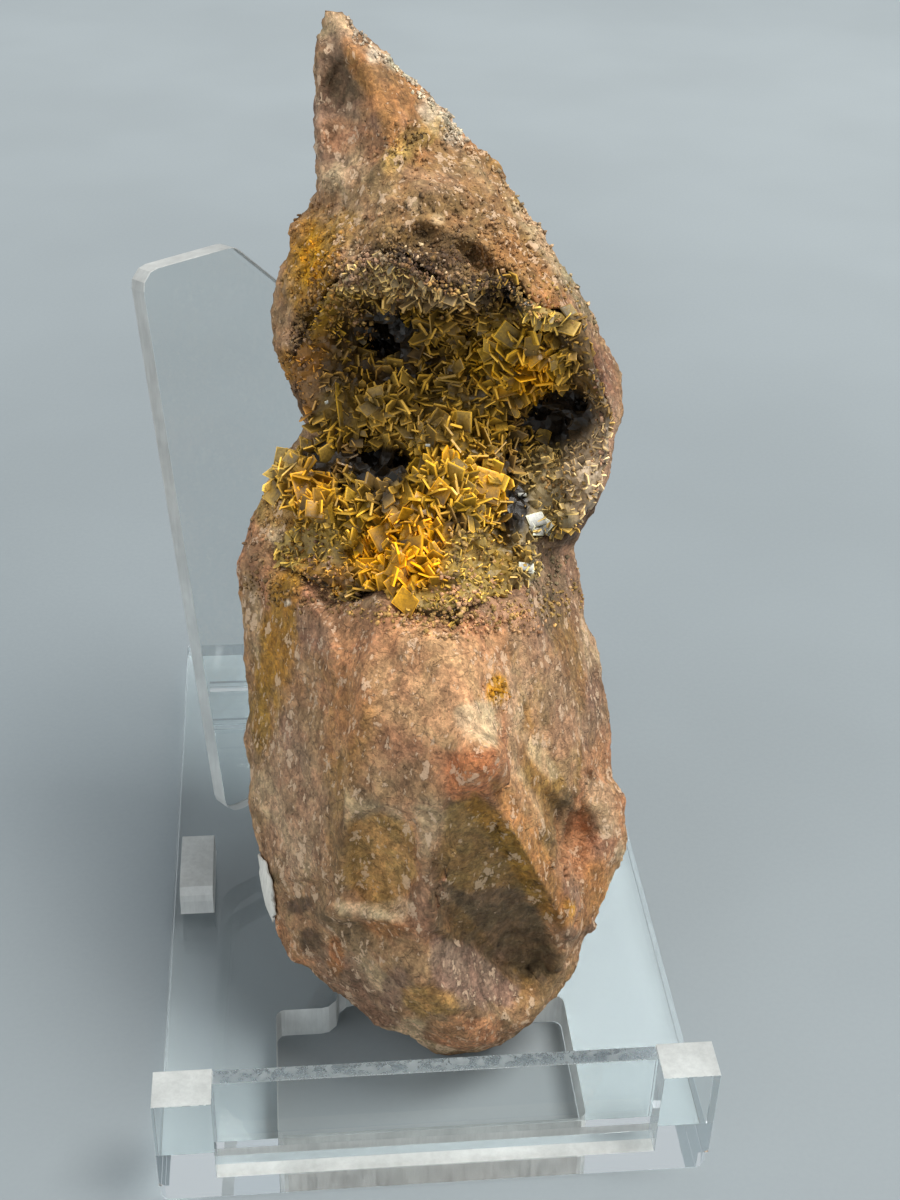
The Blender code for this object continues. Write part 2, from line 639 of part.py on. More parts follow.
def solid_test(piece):
    """A test for points inside a closed mesh: a ray from such a point crosses its skin an odd number of times."""
    tree = mesh_tree(piece)
    way = Vector((0.31, 0.93, 0.2)).normalized()

    def inside(point):
        crossings = 0
        start = point
        while True:
            spot, _, _, _ = tree.ray_cast(start, way)
            if spot is None:
                return crossings % 2 == 1
            crossings += 1
            start = spot + way * 1e-6

    return inside


def label_frame(depth):
    out = Vector(LABEL_FACING).normalized()
    side = Vector((0.0, 0.0, 1.0)).cross(out).normalized()
    up = out.cross(side)
    frame = Matrix((side, up, out)).transposed().to_4x4()
    frame.translation = mm(*(Vector(LABEL_MIDDLE) + out * depth))
    return frame


def make_label(parts, material):
    side = LABEL_SIZE[0] / 2
    up = LABEL_SIZE[1] / 2
    work = bmesh.new()
    outline = rounded([(-side, -up), (side, -up), (side, up), (-side, up)], LABEL_ROUND, steps=5)
    prism(work, outline, LABEL_SIZE[2])
    bmesh.ops.transform(work, matrix=label_frame(FIT_GAP), verts=work.verts)
    return object_from_bmesh("number_label", work, parts, material)


def main():
    clear_scene()
    parts = new_collection("barite on a stand")
    helpers = new_collection("cutters")
    clear_plastic = plain_material("clear plastic", (0.85, 0.88, 0.90), 0.12, 1.0)
    stone = plain_material("pink brown stone", (0.42, 0.27, 0.20), 0.85)
    barite = plain_material("yellow barite", (0.50, 0.32, 0.05), 0.45)
    paper = plain_material("white paper", (0.85, 0.85, 0.82), 0.8)

    make_base(parts, helpers, clear_plastic)
    make_back_plate(parts, helpers, clear_plastic)

    envelope = make_rock_envelope(helpers)
    rock = envelope.copy()
    rock.data = envelope.data.copy()
    rock.name = "host_rock"
    rock.data.materials.append(stone)
    parts.objects.link(rock)
    ball = make_hollow(helpers)
    combine(rock, "DIFFERENCE", ball)
    seat_high = (SEAT_HALF, SEAT_HALF, BASE_THICKNESS + FIT_GAP)
    seat = box("seat", (-SEAT_HALF, SEAT_LOW_Y, -PAST), seat_high, helpers)
    combine(rock, "DIFFERENCE", seat)
    rest = box("rest", REST_LOW, REST_HIGH, helpers)
    rest.data.transform(plate_frame())
    combine(rock, "DIFFERENCE", rest)
    side = LABEL_SIZE[0] / 2 + LABEL_BED_MARGIN
    up = LABEL_SIZE[1] / 2 + LABEL_BED_MARGIN
    bed = box("label bed", (-side, -up, 0.0), (side, up, PAST), helpers)
    bed.data.transform(label_frame(0.0))
    combine(rock, "DIFFERENCE", bed)
    make_crust(parts, helpers, ball, envelope, barite)
    make_label(parts, paper)
    for item in helpers.objects:
        as_helper(item)


main()
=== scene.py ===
import bisect
import math
import random

import bmesh
import bpy
from bpy.props import FloatProperty, FloatVectorProperty, IntProperty, PointerProperty
from bpy.types import NodeSocket, Operator, Panel, PropertyGroup
from mathutils import Matrix, Vector, noise
from mathutils.bvhtree import BVHTree


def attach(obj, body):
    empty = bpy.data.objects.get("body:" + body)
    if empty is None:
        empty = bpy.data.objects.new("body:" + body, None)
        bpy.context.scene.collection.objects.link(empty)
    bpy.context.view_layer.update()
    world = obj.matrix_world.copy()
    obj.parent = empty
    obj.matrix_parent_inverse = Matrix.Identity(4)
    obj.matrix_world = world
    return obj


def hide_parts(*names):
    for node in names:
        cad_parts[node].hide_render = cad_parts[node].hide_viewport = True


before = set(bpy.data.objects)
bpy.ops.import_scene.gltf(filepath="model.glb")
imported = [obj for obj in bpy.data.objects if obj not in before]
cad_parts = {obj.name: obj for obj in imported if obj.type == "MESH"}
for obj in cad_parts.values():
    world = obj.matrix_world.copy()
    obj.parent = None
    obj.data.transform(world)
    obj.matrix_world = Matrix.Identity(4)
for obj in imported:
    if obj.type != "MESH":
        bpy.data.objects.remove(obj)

bl_info = {
    "name": "Barite on its rock in a clear stand",
    "version": (1, 0, 0),
    "blender": (4, 5, 0),
    "location": "View3D > Sidebar > Barite",
    "description": "Dresses a hollow of barite crystals, its host rock, label and display stand",
    "category": "Add Mesh",
}

MM = 0.001

# The photograph's viewpoint, in the frame of the solids
PICTURE_WIDTH = 900
PICTURE_HEIGHT = 1200
FOCAL_PIXELS = 1710
FILM_HEIGHT = 36
EYE = Vector((-13.9, -168.37, 157.09)) * MM
PITCH = math.radians(33.75)
HEADING = math.radians(6.36)
ROLL = math.radians(1.78)
PIXELS_PER_MM = 8.5


def linear(red, green, blue):
    """Turn a colour written as 0 to 255 screen values into scene values."""
    values = []
    for part in (red, green, blue):
        part = part / 255
        values.append(part / 12.92 if part <= 0.04045 else ((part + 0.055) / 1.055) ** 2.4)
    return tuple(values)


def colour(name, description, red, green, blue):
    """A colour setting with its default written as screen values."""
    return FloatVectorProperty(
        name=name, description=description, subtype="COLOR", size=3, min=0, max=1,
        default=linear(red, green, blue),
    )


def length(name, description, millimetres):
    """A length setting with its default in millimetres."""
    return FloatProperty(name=name, description=description, default=millimetres * MM, min=0, unit="LENGTH")


def palette_of(settings):
    """All colours of a group of settings, by name, as plain tuples."""
    names = [item.identifier for item in settings.bl_rna.properties if item.subtype == "COLOR"]
    return {name: tuple(getattr(settings, name)) for name in names}


def view_axes():
    """Right, up and forward of the viewpoint."""
    forward = Vector((
        math.sin(HEADING) * math.cos(PITCH), math.cos(HEADING) * math.cos(PITCH), -math.sin(PITCH)))
    side = Vector((math.cos(HEADING), -math.sin(HEADING), 0))
    over = side.cross(forward)
    right = math.cos(ROLL) * side + math.sin(ROLL) * over
    up = -math.sin(ROLL) * side + math.cos(ROLL) * over
    return right, up, forward


RIGHT, UP, FORWARD = view_axes()


def pixel_of(point):
    """Where a point is seen: column, row and distance ahead of the eye."""
    away = point - EYE
    ahead = away.dot(FORWARD)
    return (
        PICTURE_WIDTH / 2 + FOCAL_PIXELS * away.dot(RIGHT) / ahead,
        PICTURE_HEIGHT / 2 - FOCAL_PIXELS * away.dot(UP) / ahead,
        ahead,
    )


def ray_through(column, row):
    """Direction from the eye through a pixel."""
    across = (column - PICTURE_WIDTH / 2) / FOCAL_PIXELS
    down = (row - PICTURE_HEIGHT / 2) / FOCAL_PIXELS
    return (FORWARD + RIGHT * across - UP * down).normalized()


def seen_spot(trees, column, row):
    """The nearest surface seen through a pixel, and which way it faces."""
    found = None
    nearest = math.inf
    for tree in trees:
        hit, normal, _, far = tree.ray_cast(EYE, ray_through(column, row))
        if hit is not None and far < nearest:
            found = (hit, normal)
            nearest = far
    return found


def facing_eye(vert):
    """How squarely a vertex faces the viewpoint, from -1 to 1."""
    return vert.normal.dot((EYE - vert.co).normalized())


def smooth(low, high, value):
    """Rise softly from 0 at low to 1 at high."""
    share = min(1, max(0, (value - low) / (high - low)))
    return share * share * (3 - 2 * share)


def blend(first, second, share):
    """Mix two colours."""
    return tuple(a + (b - a) * share for a, b in zip(first, second))


def any_way(chance):
    """A random direction."""
    return Vector((chance.gauss(0, 1), chance.gauss(0, 1), chance.gauss(0, 1)))


# Meshes

MERGE_GAP = 0.001 * MM


def fill(mesh, bm, smooth_shading):
    """Write a finished bmesh into a mesh and free it."""
    bm.to_mesh(mesh)
    bm.free()
    for face in mesh.polygons:
        face.use_smooth = smooth_shading


def new_piece(name, bm, smooth_shading=False):
    """Make a linked object of a finished bmesh."""
    mesh = bpy.data.meshes.new(name)
    fill(mesh, bm, smooth_shading)
    piece = bpy.data.objects.new(name, mesh)
    bpy.context.scene.collection.objects.link(piece)
    return piece


def bmesh_of(piece):
    """Read a piece's mesh into a new bmesh."""
    bm = bmesh.new()
    bm.from_mesh(piece.data)
    return bm


def tree_of(piece):
    """A search tree of a piece's faces."""
    bm = bmesh_of(piece)
    tree = BVHTree.FromBMesh(bm)
    bm.free()
    return tree


def merged_copy(node):
    """Copy a solid's loose triangles into one joined bmesh."""
    bm = bmesh_of(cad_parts[node])
    bmesh.ops.remove_doubles(bm, verts=bm.verts, dist=MERGE_GAP)
    return bm


def even_piece(name, node, cell):
    """Make a piece of a solid, with an even mesh of small cells."""
    piece = new_piece(name, merged_copy(node))
    cells = piece.modifiers.new("Even cells", "REMESH")
    cells.mode = "VOXEL"
    cells.voxel_size = cell
    shaped = piece.evaluated_get(bpy.context.evaluated_depsgraph_get())
    mesh = bpy.data.meshes.new_from_object(shaped)
    old = piece.data
    piece.modifiers.clear()
    piece.data = mesh
    bpy.data.meshes.remove(old)
    mesh.name = name
    return piece


# Ovals, lines and outlines that are seen at pixels and laid on the surface behind them

PATCH_STRENGTH = 0.8
PATCH_REACH = 1.5
PATCH_CORE = 0.7
PATCH_END = 1.2
PATCH_DEPTH = 4
FACET_EDGE = 3.2
RAGGED_COLUMNS = 12
RAGGED_ROWS = 9


class Patch:
    """An oval that carries a tone or a share."""

    def __init__(self, column, row, half_width, half_height, value, strength=PATCH_STRENGTH, turn=0):
        self.column = column
        self.row = row
        self.half_width = half_width
        self.half_height = half_height
        self.value = value
        self.strength = strength
        self.cos = math.cos(math.radians(turn))
        self.sin = math.sin(math.radians(turn))
        self.depth = None

    def place(self, tree):
        """Find how far away the surface behind the pixel is."""
        hit = tree.ray_cast(EYE, ray_through(self.column, self.row))[0]
        if hit is not None:
            self.depth = pixel_of(hit)[2]

    def weight(self, column, row, depth, ragged):
        """How much of the value a seen point takes."""
        reach = max(self.half_width, self.half_height) * PATCH_REACH
        across = column - self.column
        down = row - self.row
        if abs(across) > reach or abs(down) > reach:
            return 0
        if self.depth is not None and abs(depth - self.depth) > (reach / PIXELS_PER_MM + PATCH_DEPTH) * MM:
            return 0
        along = (across * self.cos + down * self.sin) / self.half_width
        square = (down * self.cos - across * self.sin) / self.half_height
        distance = math.sqrt(along * along + square * square) + ragged
        return self.strength * smooth(PATCH_END, PATCH_CORE, distance)


class Trace:
    """A line through pixels."""

    def __init__(self, corners, ends, margin):
        self.legs = list(zip(corners, ends))
        columns = [column for column, row in corners]
        rows = [row for column, row in corners]
        self.low = (min(columns) - margin, min(rows) - margin)
        self.high = (max(columns) + margin, max(rows) + margin)

    def reaches(self, column, row):
        """Whether a seen point may be near the line."""
        return self.low[0] < column < self.high[0] and self.low[1] < row < self.high[1]

    def gap(self, column, row, most):
        """How far a seen point is from the line, and no more than most."""
        nearest = most
        for (x, y), (far_x, far_y) in self.legs:
            step_x, step_y = far_x - x, far_y - y
            share = ((column - x) * step_x + (row - y) * step_y) / (step_x * step_x + step_y * step_y)
            share = min(1, max(0, share))
            nearest = min(nearest, math.hypot(column - x - share * step_x, row - y - share * step_y))
        return nearest


class Crease(Trace):
    """A ridge or groove along a line."""

    def __init__(self, rise, half_width, *corners):
        super().__init__(corners, corners[1:], half_width)
        self.rise = rise * MM
        self.half_width = half_width

    def lift(self, column, row):
        """How far a seen point moves out."""
        if not self.reaches(column, row):
            return 0
        return self.rise * (1 - self.gap(column, row, self.half_width) / self.half_width)


class Facet(Trace):
    """A broken face of the rock inside an outline: its tone, and how flat it is."""

    def __init__(self, tone, strength, flatness, *corners):
        super().__init__(corners, corners[1:] + corners[:1], FACET_EDGE)
        self.tone = tone
        self.strength = strength
        self.flatness = flatness

    def cover(self, column, row):
        """How far inside the outline a seen point lies, from 0 to 1."""
        if not self.reaches(column, row):
            return 0
        inside = False
        for (x, y), (far_x, far_y) in self.legs:
            if (y > row) != (far_y > row) and column < (far_x - x) * (row - y) / (far_y - y) + x:
                inside = not inside
        gap = self.gap(column, row, FACET_EDGE)
        return smooth(-FACET_EDGE, FACET_EDGE, gap if inside else -gap)


def placed_patches(rows, tree):
    """Make patches of their rows and lay them on a surface."""
    patches = [Patch(*row) for row in rows]
    for patch in patches:
        patch.place(tree)
    return patches


def painted(base, point, facing, patches, palette, ragged, facets=()):
    """Mix the patches and faces that reach a point into its base tone."""
    seen = smooth(-0.1, 0.15, facing)
    if seen == 0:
        return base
    column, row, depth = pixel_of(point)
    for patch in patches:
        share = patch.weight(column, row, depth, ragged) * seen
        if share > 0:
            base = blend(base, palette[patch.value], share)
    for facet in facets:
        share = facet.cover(column + ragged * RAGGED_COLUMNS, row + ragged * RAGGED_ROWS)
        share = facet.strength * share * seen
        if share > 0:
            base = blend(base, palette[facet.tone], share)
    return base


# What the rock shows: column, row, half width, half height, tone, strength and turn
ROCK_PATCHES = (
    # The spire
    (334, 25, 22, 22, "cream", 0.5),
    (335, 110, 26, 75, "mauve", 0.6),
    (343, 78, 22, 22, "charcoal", 0.75),
    (343, 138, 22, 20, "salmon", 0.5),
    (378, 122, 12, 12, "plum", 0.7),
    (380, 143, 15, 8, "charcoal", 0.5),
    (332, 175, 18, 15, "cream", 0.5),
    (362, 70, 11, 34, "tan", 0.8, -32),
    (392, 122, 9, 34, "tan", 0.8, -8),
    (408, 95, 14, 26, "rust", 0.6, -35),
    (412, 142, 34, 14, "straw", 0.7, -38),
    (410, 140, 9, 14, "olive", 0.8, 15),
    # The white and cream strips down the spire's right edges are partly painted highlight on its white
    # granular crust
    (373, 55, 7, 9, "white", 0.8),
    (392, 62, 13, 7, "white", 0.9, 30),
    (440, 122, 12, 34, "white", 0.9, -38),
    (480, 175, 9, 26, "cream", 0.6, -42),
    (450, 160, 30, 22, "umber", 0.5),
    (445, 205, 115, 48, "umber", 0.65),
    (430, 180, 36, 12, "rose", 0.6, 10),
    # Partly painted highlight along the lit right edge
    (545, 245, 10, 62, "cream", 0.75, -34),
    (575, 285, 10, 38, "sage", 0.6, -28),
    (517, 200, 5, 5, "straw", 0.9),
    (413, 205, 8, 7, "cream", 0.8),
    (438, 220, 7, 6, "cream", 0.8),
    (525, 280, 26, 52, "tan", 0.75, -30),
    (560, 320, 18, 30, "rust", 0.5, -20),
    (315, 267, 30, 62, "ochre", 0.85),
    (313, 260, 15, 30, "yellow", 0.85),
    (345, 225, 20, 16, "ochre", 0.6),
    (362, 270, 26, 30, "rose", 0.65),
    (322, 205, 26, 14, "umber", 0.5),
    # Painted shade under the hollow's upper rim
    (435, 250, 46, 22, "bark", 0.75, 8),
    (490, 295, 30, 16, "bark", 0.8, 30),
    # The left knob and the wall on the right
    (294, 344, 12, 13, "rose", 0.8),
    (287, 366, 13, 18, "ochre", 0.75),
    (300, 398, 14, 16, "bark", 0.6),
    (601, 382, 18, 42, "brick", 0.75),
    (606, 447, 13, 52, "rose", 0.75, 8),
    # Painted shade under the right wall's overhang
    (575, 512, 30, 32, "bark", 0.7),
    # The left shoulder
    (280, 500, 28, 46, "straw", 0.75),
    (262, 545, 18, 22, "umber", 0.5),
    (275, 535, 10, 10, "cream", 0.7),
    (250, 575, 12, 40, "charcoal", 0.4),
    (318, 560, 20, 36, "plum", 0.6, 8),
    (295, 560, 12, 60, "ochre", 0.85, 4),
    (277, 650, 19, 92, "ochre", 0.85, 6),
    (262, 720, 14, 34, "mustard", 0.8),
    (288, 603, 3, 3, "white", 0.9),
    (247, 640, 8, 70, "umber", 0.7),
    (330, 600, 34, 30, "salmon", 0.5),
    # The lower block
    (300, 770, 34, 120, "rose", 0.45, 4),
    (345, 690, 24, 70, "salmon", 0.5, 6),
    (437, 680, 70, 60, "peach", 0.55),
    (480, 600, 60, 22, "rose", 0.5, 8),
    (408, 640, 26, 30, "salmon", 0.75, 10),
    (428, 662, 14, 18, "rust", 0.5),
    (496, 690, 12, 15, "yellow", 0.85),
    (478, 722, 24, 22, "cream", 0.75),
    (440, 722, 24, 28, "peach", 0.8),
    (530, 680, 16, 70, "olive_light", 0.4, -10),
    (570, 700, 26, 60, "plum", 0.4, -8),
    (548, 740, 22, 14, "peach", 0.6, 20),
    # Painted shade in the groove down the right side
    (566, 807, 9, 30, "charcoal", 0.6, 4),
    (590, 640, 12, 34, "cream", 0.3),
    (473, 767, 26, 24, "red", 0.85),
    (470, 745, 22, 10, "peach", 0.6),
    (517, 812, 22, 42, "tan", 0.6, -22),
    (472, 782, 7, 6, "cream", 0.7),
    (500, 838, 12, 54, "mustard", 0.8, -36),
    (470, 812, 20, 14, "mustard", 0.7),
    (451, 806, 6, 6, "charcoal", 0.85),
    (462, 833, 18, 5, "charcoal", 0.8),
    (503, 859, 9, 9, "charcoal", 0.7),
    (519, 893, 9, 6, "charcoal", 0.8),
    (467, 865, 33, 25, "moss", 0.8, 10),
    (492, 932, 56, 40, "charcoal", 0.4, 30),
    (440, 900, 12, 44, "plum", 0.6, 10),
    (540, 965, 26, 24, "olive", 0.6, 30),
    (545, 905, 12, 44, "salmon", 0.6, -20),
    (376, 862, 24, 44, "olive_light", 0.75, 8),
    (408, 850, 14, 46, "salmon", 0.5),
    (372, 911, 34, 7, "cream", 0.8, 6),
    (386, 928, 24, 10, "rust", 0.6, 6),
    (275, 878, 6, 6, "olive", 0.8),
    # Painted shade on the underside
    (300, 905, 12, 10, "bark", 0.7),
    (310, 940, 12, 12, "bark", 0.7),
    (337, 957, 9, 18, "rust", 0.7),
    (395, 990, 16, 20, "plum", 0.7),
    (475, 972, 40, 36, "mauve", 0.75, 20),
    (430, 1001, 25, 13, "olive_light", 0.8, 6),
    (410, 1030, 16, 13, "cream", 0.7),
    (470, 1032, 42, 18, "salmon", 0.8),
    (565, 911, 10, 14, "yellow", 0.8),
    (603, 800, 22, 40, "umber", 0.6),
    (603, 838, 16, 22, "plum", 0.5),
    (620, 850, 5, 11, "cream", 0.8),
    (600, 895, 14, 34, "tan", 0.8, -12),
    (408, 104, 34, 60, "dun", 0.45, -40),
    (440, 185, 90, 40, "dun", 0.45),
    (525, 245, 60, 50, "dun", 0.35, -40),
    (420, 235, 90, 18, "dun", 0.4),
)

# Rise in millimetres, half width in pixels, then the line
ROCK_CREASES = (
    (0.9, 22, (473, 752), (455, 800), (440, 860), (432, 925), (450, 975)),
    (1.5, 28, (473, 752), (502, 792), (534, 850), (560, 915), (552, 968), (520, 1012)),
    (-0.5, 16, (478, 800), (505, 868), (520, 900)),
    (1.0, 36, (425, 600), (446, 660), (471, 748)),
    (0.8, 20, (392, 600), (372, 660), (354, 740), (348, 830), (338, 905)),
    (-0.9, 20, (410, 770), (398, 830), (384, 895)),
    (0.9, 9, (336, 906), (372, 914), (408, 922)),
    (-0.6, 9, (342, 926), (385, 938), (410, 948)),
    (1.0, 22, (520, 598), (548, 690), (566, 750), (580, 790)),
    (-0.7, 16, (500, 620), (524, 700), (545, 780), (566, 850)),
    (0.6, 14, (300, 560), (292, 640), (282, 730), (286, 820)),
    (-0.5, 12, (322, 600), (318, 700), (312, 800), (306, 880)),
    (0.9, 18, (376, 958), (430, 984), (480, 1000)),
    (0.7, 14, (398, 1012), (440, 1024), (500, 1040)),
    (-0.7, 14, (560, 800), (572, 850), (570, 900)),
    (1.2, 20, (336, 14), (352, 52), (378, 92), (394, 130), (400, 152)),
    (-0.9, 22, (338, 70), (346, 110), (342, 150)),
    (1.0, 12, (378, 172), (410, 152), (440, 120)),
    (-1.0, 10, (398, 160), (404, 138), (412, 118)),
    (0.9, 14, (420, 190), (470, 205), (520, 240), (560, 290)),
    (-0.8, 14, (400, 235), (450, 245), (500, 275)),
    (0.8, 14, (285, 345), (300, 352), (318, 345)),
)

# Tone, strength, flatness, then the outline; no tone only flattens
ROCK_FACETS = (
    (None, 0, 0.85, (447, 800), (482, 795), (520, 845), (556, 915), (548, 980), (512, 972),
     (455, 940), (428, 890)),
    (None, 0, 0.8, (496, 786), (520, 800), (560, 850), (590, 925), (566, 940), (530, 862)),
    (None, 0, 0.8, (352, 818), (380, 810), (414, 824), (418, 872), (404, 908), (372, 904), (345, 882)),
    (None, 0, 0.7, (404, 632), (440, 640), (468, 735), (446, 800), (420, 812), (380, 806),
     (360, 740), (378, 670)),
    (None, 0, 0.7, (500, 612), (556, 640), (592, 760), (570, 812), (528, 776), (500, 740), (480, 690)),
    (None, 0, 0.7, (262, 600), (330, 606), (350, 700), (336, 880), (280, 880), (258, 760)),
    (None, 0, 0.8, (430, 930), (470, 944), (520, 990), (512, 1012), (460, 1004), (424, 980)),
    (None, 0, 0.7, (345, 940), (400, 950), (420, 980), (405, 1020), (370, 1000)),
    (None, 0, 0.7, (590, 770), (618, 800), (622, 850), (600, 868), (584, 820)),
    (None, 0, 0.7, (585, 862), (618, 862), (600, 915), (575, 940)),
    (None, 0, 0.6, (322, 56), (356, 66), (376, 118), (370, 160), (326, 170)),
    (None, 0, 0.6, (366, 48), (400, 84), (442, 128), (400, 128), (384, 100)),
    ("peach", 0.65, 0, (404, 615), (450, 632), (488, 700), (482, 745), (448, 748), (420, 706), (396, 660)),
    ("rose", 0.5, 0, (500, 604), (548, 630), (588, 730), (572, 790), (540, 740), (520, 680)),
    ("cream", 0.85, 0, (452, 706), (488, 702), (502, 728), (494, 746), (470, 734), (456, 726)),
    ("cream", 0.6, 0, (520, 730), (540, 742), (562, 776), (552, 782), (528, 756)),
    ("red", 0.65, 0, (470, 744), (500, 776), (488, 796), (460, 800), (446, 794), (452, 770)),
    ("tan", 0.85, 0, (482, 768), (506, 786), (546, 850), (576, 925), (558, 930), (530, 862), (496, 800)),
    ("moss", 0.85, 0, (446, 806), (478, 800), (518, 850), (536, 892), (506, 884), (468, 892), (438, 880)),
    ("mustard", 0.85, 0, (474, 792), (500, 812), (530, 858), (558, 918), (544, 922), (520, 882),
     (490, 836), (466, 808)),
    ("charcoal", 0.9, 0, (434, 880), (470, 893), (506, 884), (536, 906), (556, 945), (546, 986),
     (512, 968), (476, 926)),
    ("olive", 0.6, 0, (428, 884), (452, 904), (480, 934), (514, 972), (500, 986), (452, 952), (430, 926)),
    ("olive_light", 0.85, 0, (350, 822), (380, 812), (413, 826), (416, 872), (402, 906),
     (372, 902), (346, 882)),
    ("cream", 0.8, 0, (338, 904), (372, 906), (402, 897), (412, 904), (406, 924), (372, 918), (340, 914)),
    ("mauve", 0.8, 0, (434, 936), (470, 946), (520, 990), (514, 1008), (470, 996), (440, 990), (428, 962)),
    ("olive_light", 0.8, 0, (402, 990), (430, 985), (456, 998), (458, 1012), (420, 1016), (404, 1004)),
    ("cream", 0.4, 0, (584, 776), (612, 786), (622, 840), (600, 836), (588, 810)),
    ("tan", 0.7, 0, (586, 862), (616, 862), (600, 912), (578, 934)),
    ("straw", 0.6, 0, (380, 160), (400, 140), (440, 116), (452, 132), (420, 152), (386, 176)),
    ("tan", 0.6, 0, (346, 50), (362, 60), (392, 112), (400, 150), (386, 140), (372, 104)),
)

# Where the crystals turn bright, dark or silvery; the near-black holes are painted shade
CRYSTAL_PATCHES = (
    (345, 300, 40, 30, "umber", 0.6),
    (304, 345, 28, 64, "rust", 0.75),
    (310, 290, 30, 50, "mustard", 0.6),
    (300, 385, 22, 34, "rust", 0.7),
    (322, 388, 22, 18, "steel", 0.3),
    (350, 370, 30, 30, "umber", 0.6),
    # Partly painted shade: brown plates under the hollow's upper rim
    (430, 300, 60, 22, "umber", 0.6),
    (345, 412, 30, 30, "khaki", 0.6),
    (423, 325, 26, 26, "mustard", 0.7),
    # Partly painted shade: brown plates under the hollow's upper rim
    (450, 350, 50, 40, "umber", 0.5),
    (510, 358, 52, 40, "mustard", 0.75),
    (535, 372, 26, 24, "amber", 0.75),
    (495, 325, 36, 16, "khaki", 0.6),
    (425, 420, 74, 36, "khaki", 0.7),
    (475, 430, 30, 26, "mustard", 0.5),
    (560, 485, 50, 44, "sage", 0.75),
    (535, 550, 24, 44, "sage", 0.7),
    (300, 495, 34, 30, "amber", 0.65),
    (275, 470, 22, 18, "straw", 0.8),
    (272, 520, 26, 36, "straw", 0.7),
    (435, 480, 44, 36, "mustard", 0.75),
    (485, 495, 26, 30, "mustard", 0.75),
    (402, 554, 56, 44, "amber", 0.95),
    (405, 598, 24, 26, "amber", 1.0),
    (350, 520, 28, 34, "mustard", 0.7),
    (315, 550, 30, 30, "straw", 0.6),
    (475, 560, 36, 30, "straw", 0.8),
    (520, 570, 26, 24, "khaki", 0.7),
    (455, 606, 90, 22, "straw", 0.9),
    (540, 592, 34, 30, "sage", 0.6),
    (262, 575, 44, 44, "straw", 0.75),
    (320, 585, 30, 26, "rust", 0.6),
    (594, 350, 24, 70, "umber", 0.7),
    (588, 465, 26, 64, "glow", 0.9),
    (372, 270, 76, 28, "straw", 0.75),
    (545, 300, 34, 30, "straw", 0.7),
    (385, 270, 80, 24, "glow", 0.5),
    (445, 294, 60, 14, "glow", 0.4),
    # Painted shade: the deep holes are painted near black
    (392, 334, 32, 28, "hole", 1.0),
    (562, 415, 38, 30, "hole", 1.0),
    (382, 466, 36, 20, "hole", 1.0),
    (318, 466, 12, 13, "hole", 0.9),
    (516, 508, 15, 28, "hole", 1.0),
    (435, 252, 44, 14, "hole", 0.75, 10),
    (515, 296, 22, 12, "hole", 0.8, 30),
)

# How large the plates grow, as a share of the common size
GROWTH_PATCHES = (
    (320, 290, 56, 90, 0.42),
    (430, 255, 90, 40, 0.6),
    (540, 270, 60, 50, 0.6),
    (575, 470, 52, 74, 0.55),
    (585, 380, 22, 60, 0.5),
    (535, 560, 40, 50, 0.55),
    (290, 540, 60, 44, 0.55),
    (340, 395, 34, 30, 0.7),
    (425, 410, 70, 44, 1.15),
    (520, 365, 56, 40, 1.25),
    (425, 335, 24, 30, 1.2),
    (440, 485, 46, 40, 1.15),
    (400, 550, 50, 34, 1.1),
    (405, 600, 24, 24, 0.8),
    (305, 490, 30, 30, 1.1),
    (475, 560, 40, 34, 0.4),
    (325, 560, 40, 26, 0.4),
    (470, 604, 90, 22, 0.32),
    (290, 600, 60, 30, 0.32),
    (300, 350, 26, 60, 0.34),
)

# Where the crust's rim thins out into the rock, and how far
SINK_PATCHES = (
    (280, 592, 80, 20, "rim", 1, 6),
    (350, 606, 40, 16, "rim", 1, 10),
    (470, 622, 120, 16, "rim", 1),
    (420, 264, 40, 13, "rim", 0.9, 30),
    (490, 288, 40, 12, "rim", 0.8, 10),
    (303, 322, 12, 44, "rim", 1, 24),
)
SINK = 0.9 * MM

# Fine crumbs that roughen the rock round the hollow: column, row, half width, half height,
# number and tone, with no tone where they take the rock's own
CRUMB_PATCHES = (
    (315, 262, 34, 64, 300, None),
    (372, 272, 36, 32, 200, None),
    (435, 246, 70, 26, 300, None),
    (400, 300, 60, 14, 180, "straw"),
    (392, 274, 74, 22, 360, "dun"),
    (380, 262, 50, 16, 140, "cream"),
    (350, 330, 26, 34, 120, "mustard"),
    (500, 262, 46, 34, 240, None),
    (548, 318, 30, 46, 200, "straw"),
    (470, 300, 50, 14, 120, "olive_light"),
    (290, 372, 20, 46, 120, None),
    (440, 205, 110, 30, 130, None),
    (410, 146, 36, 18, 100, None),
    (600, 450, 10, 70, 60, None),
    (565, 480, 34, 46, 200, "straw"),
    (270, 510, 34, 44, 220, None),
    (300, 565, 34, 26, 130, None),
    (455, 588, 50, 22, 200, "peach"),
    (480, 560, 34, 26, 140, "straw"),
    (545, 565, 24, 30, 90, "sage"),
    (496, 690, 10, 12, 26, "yellow"),
)

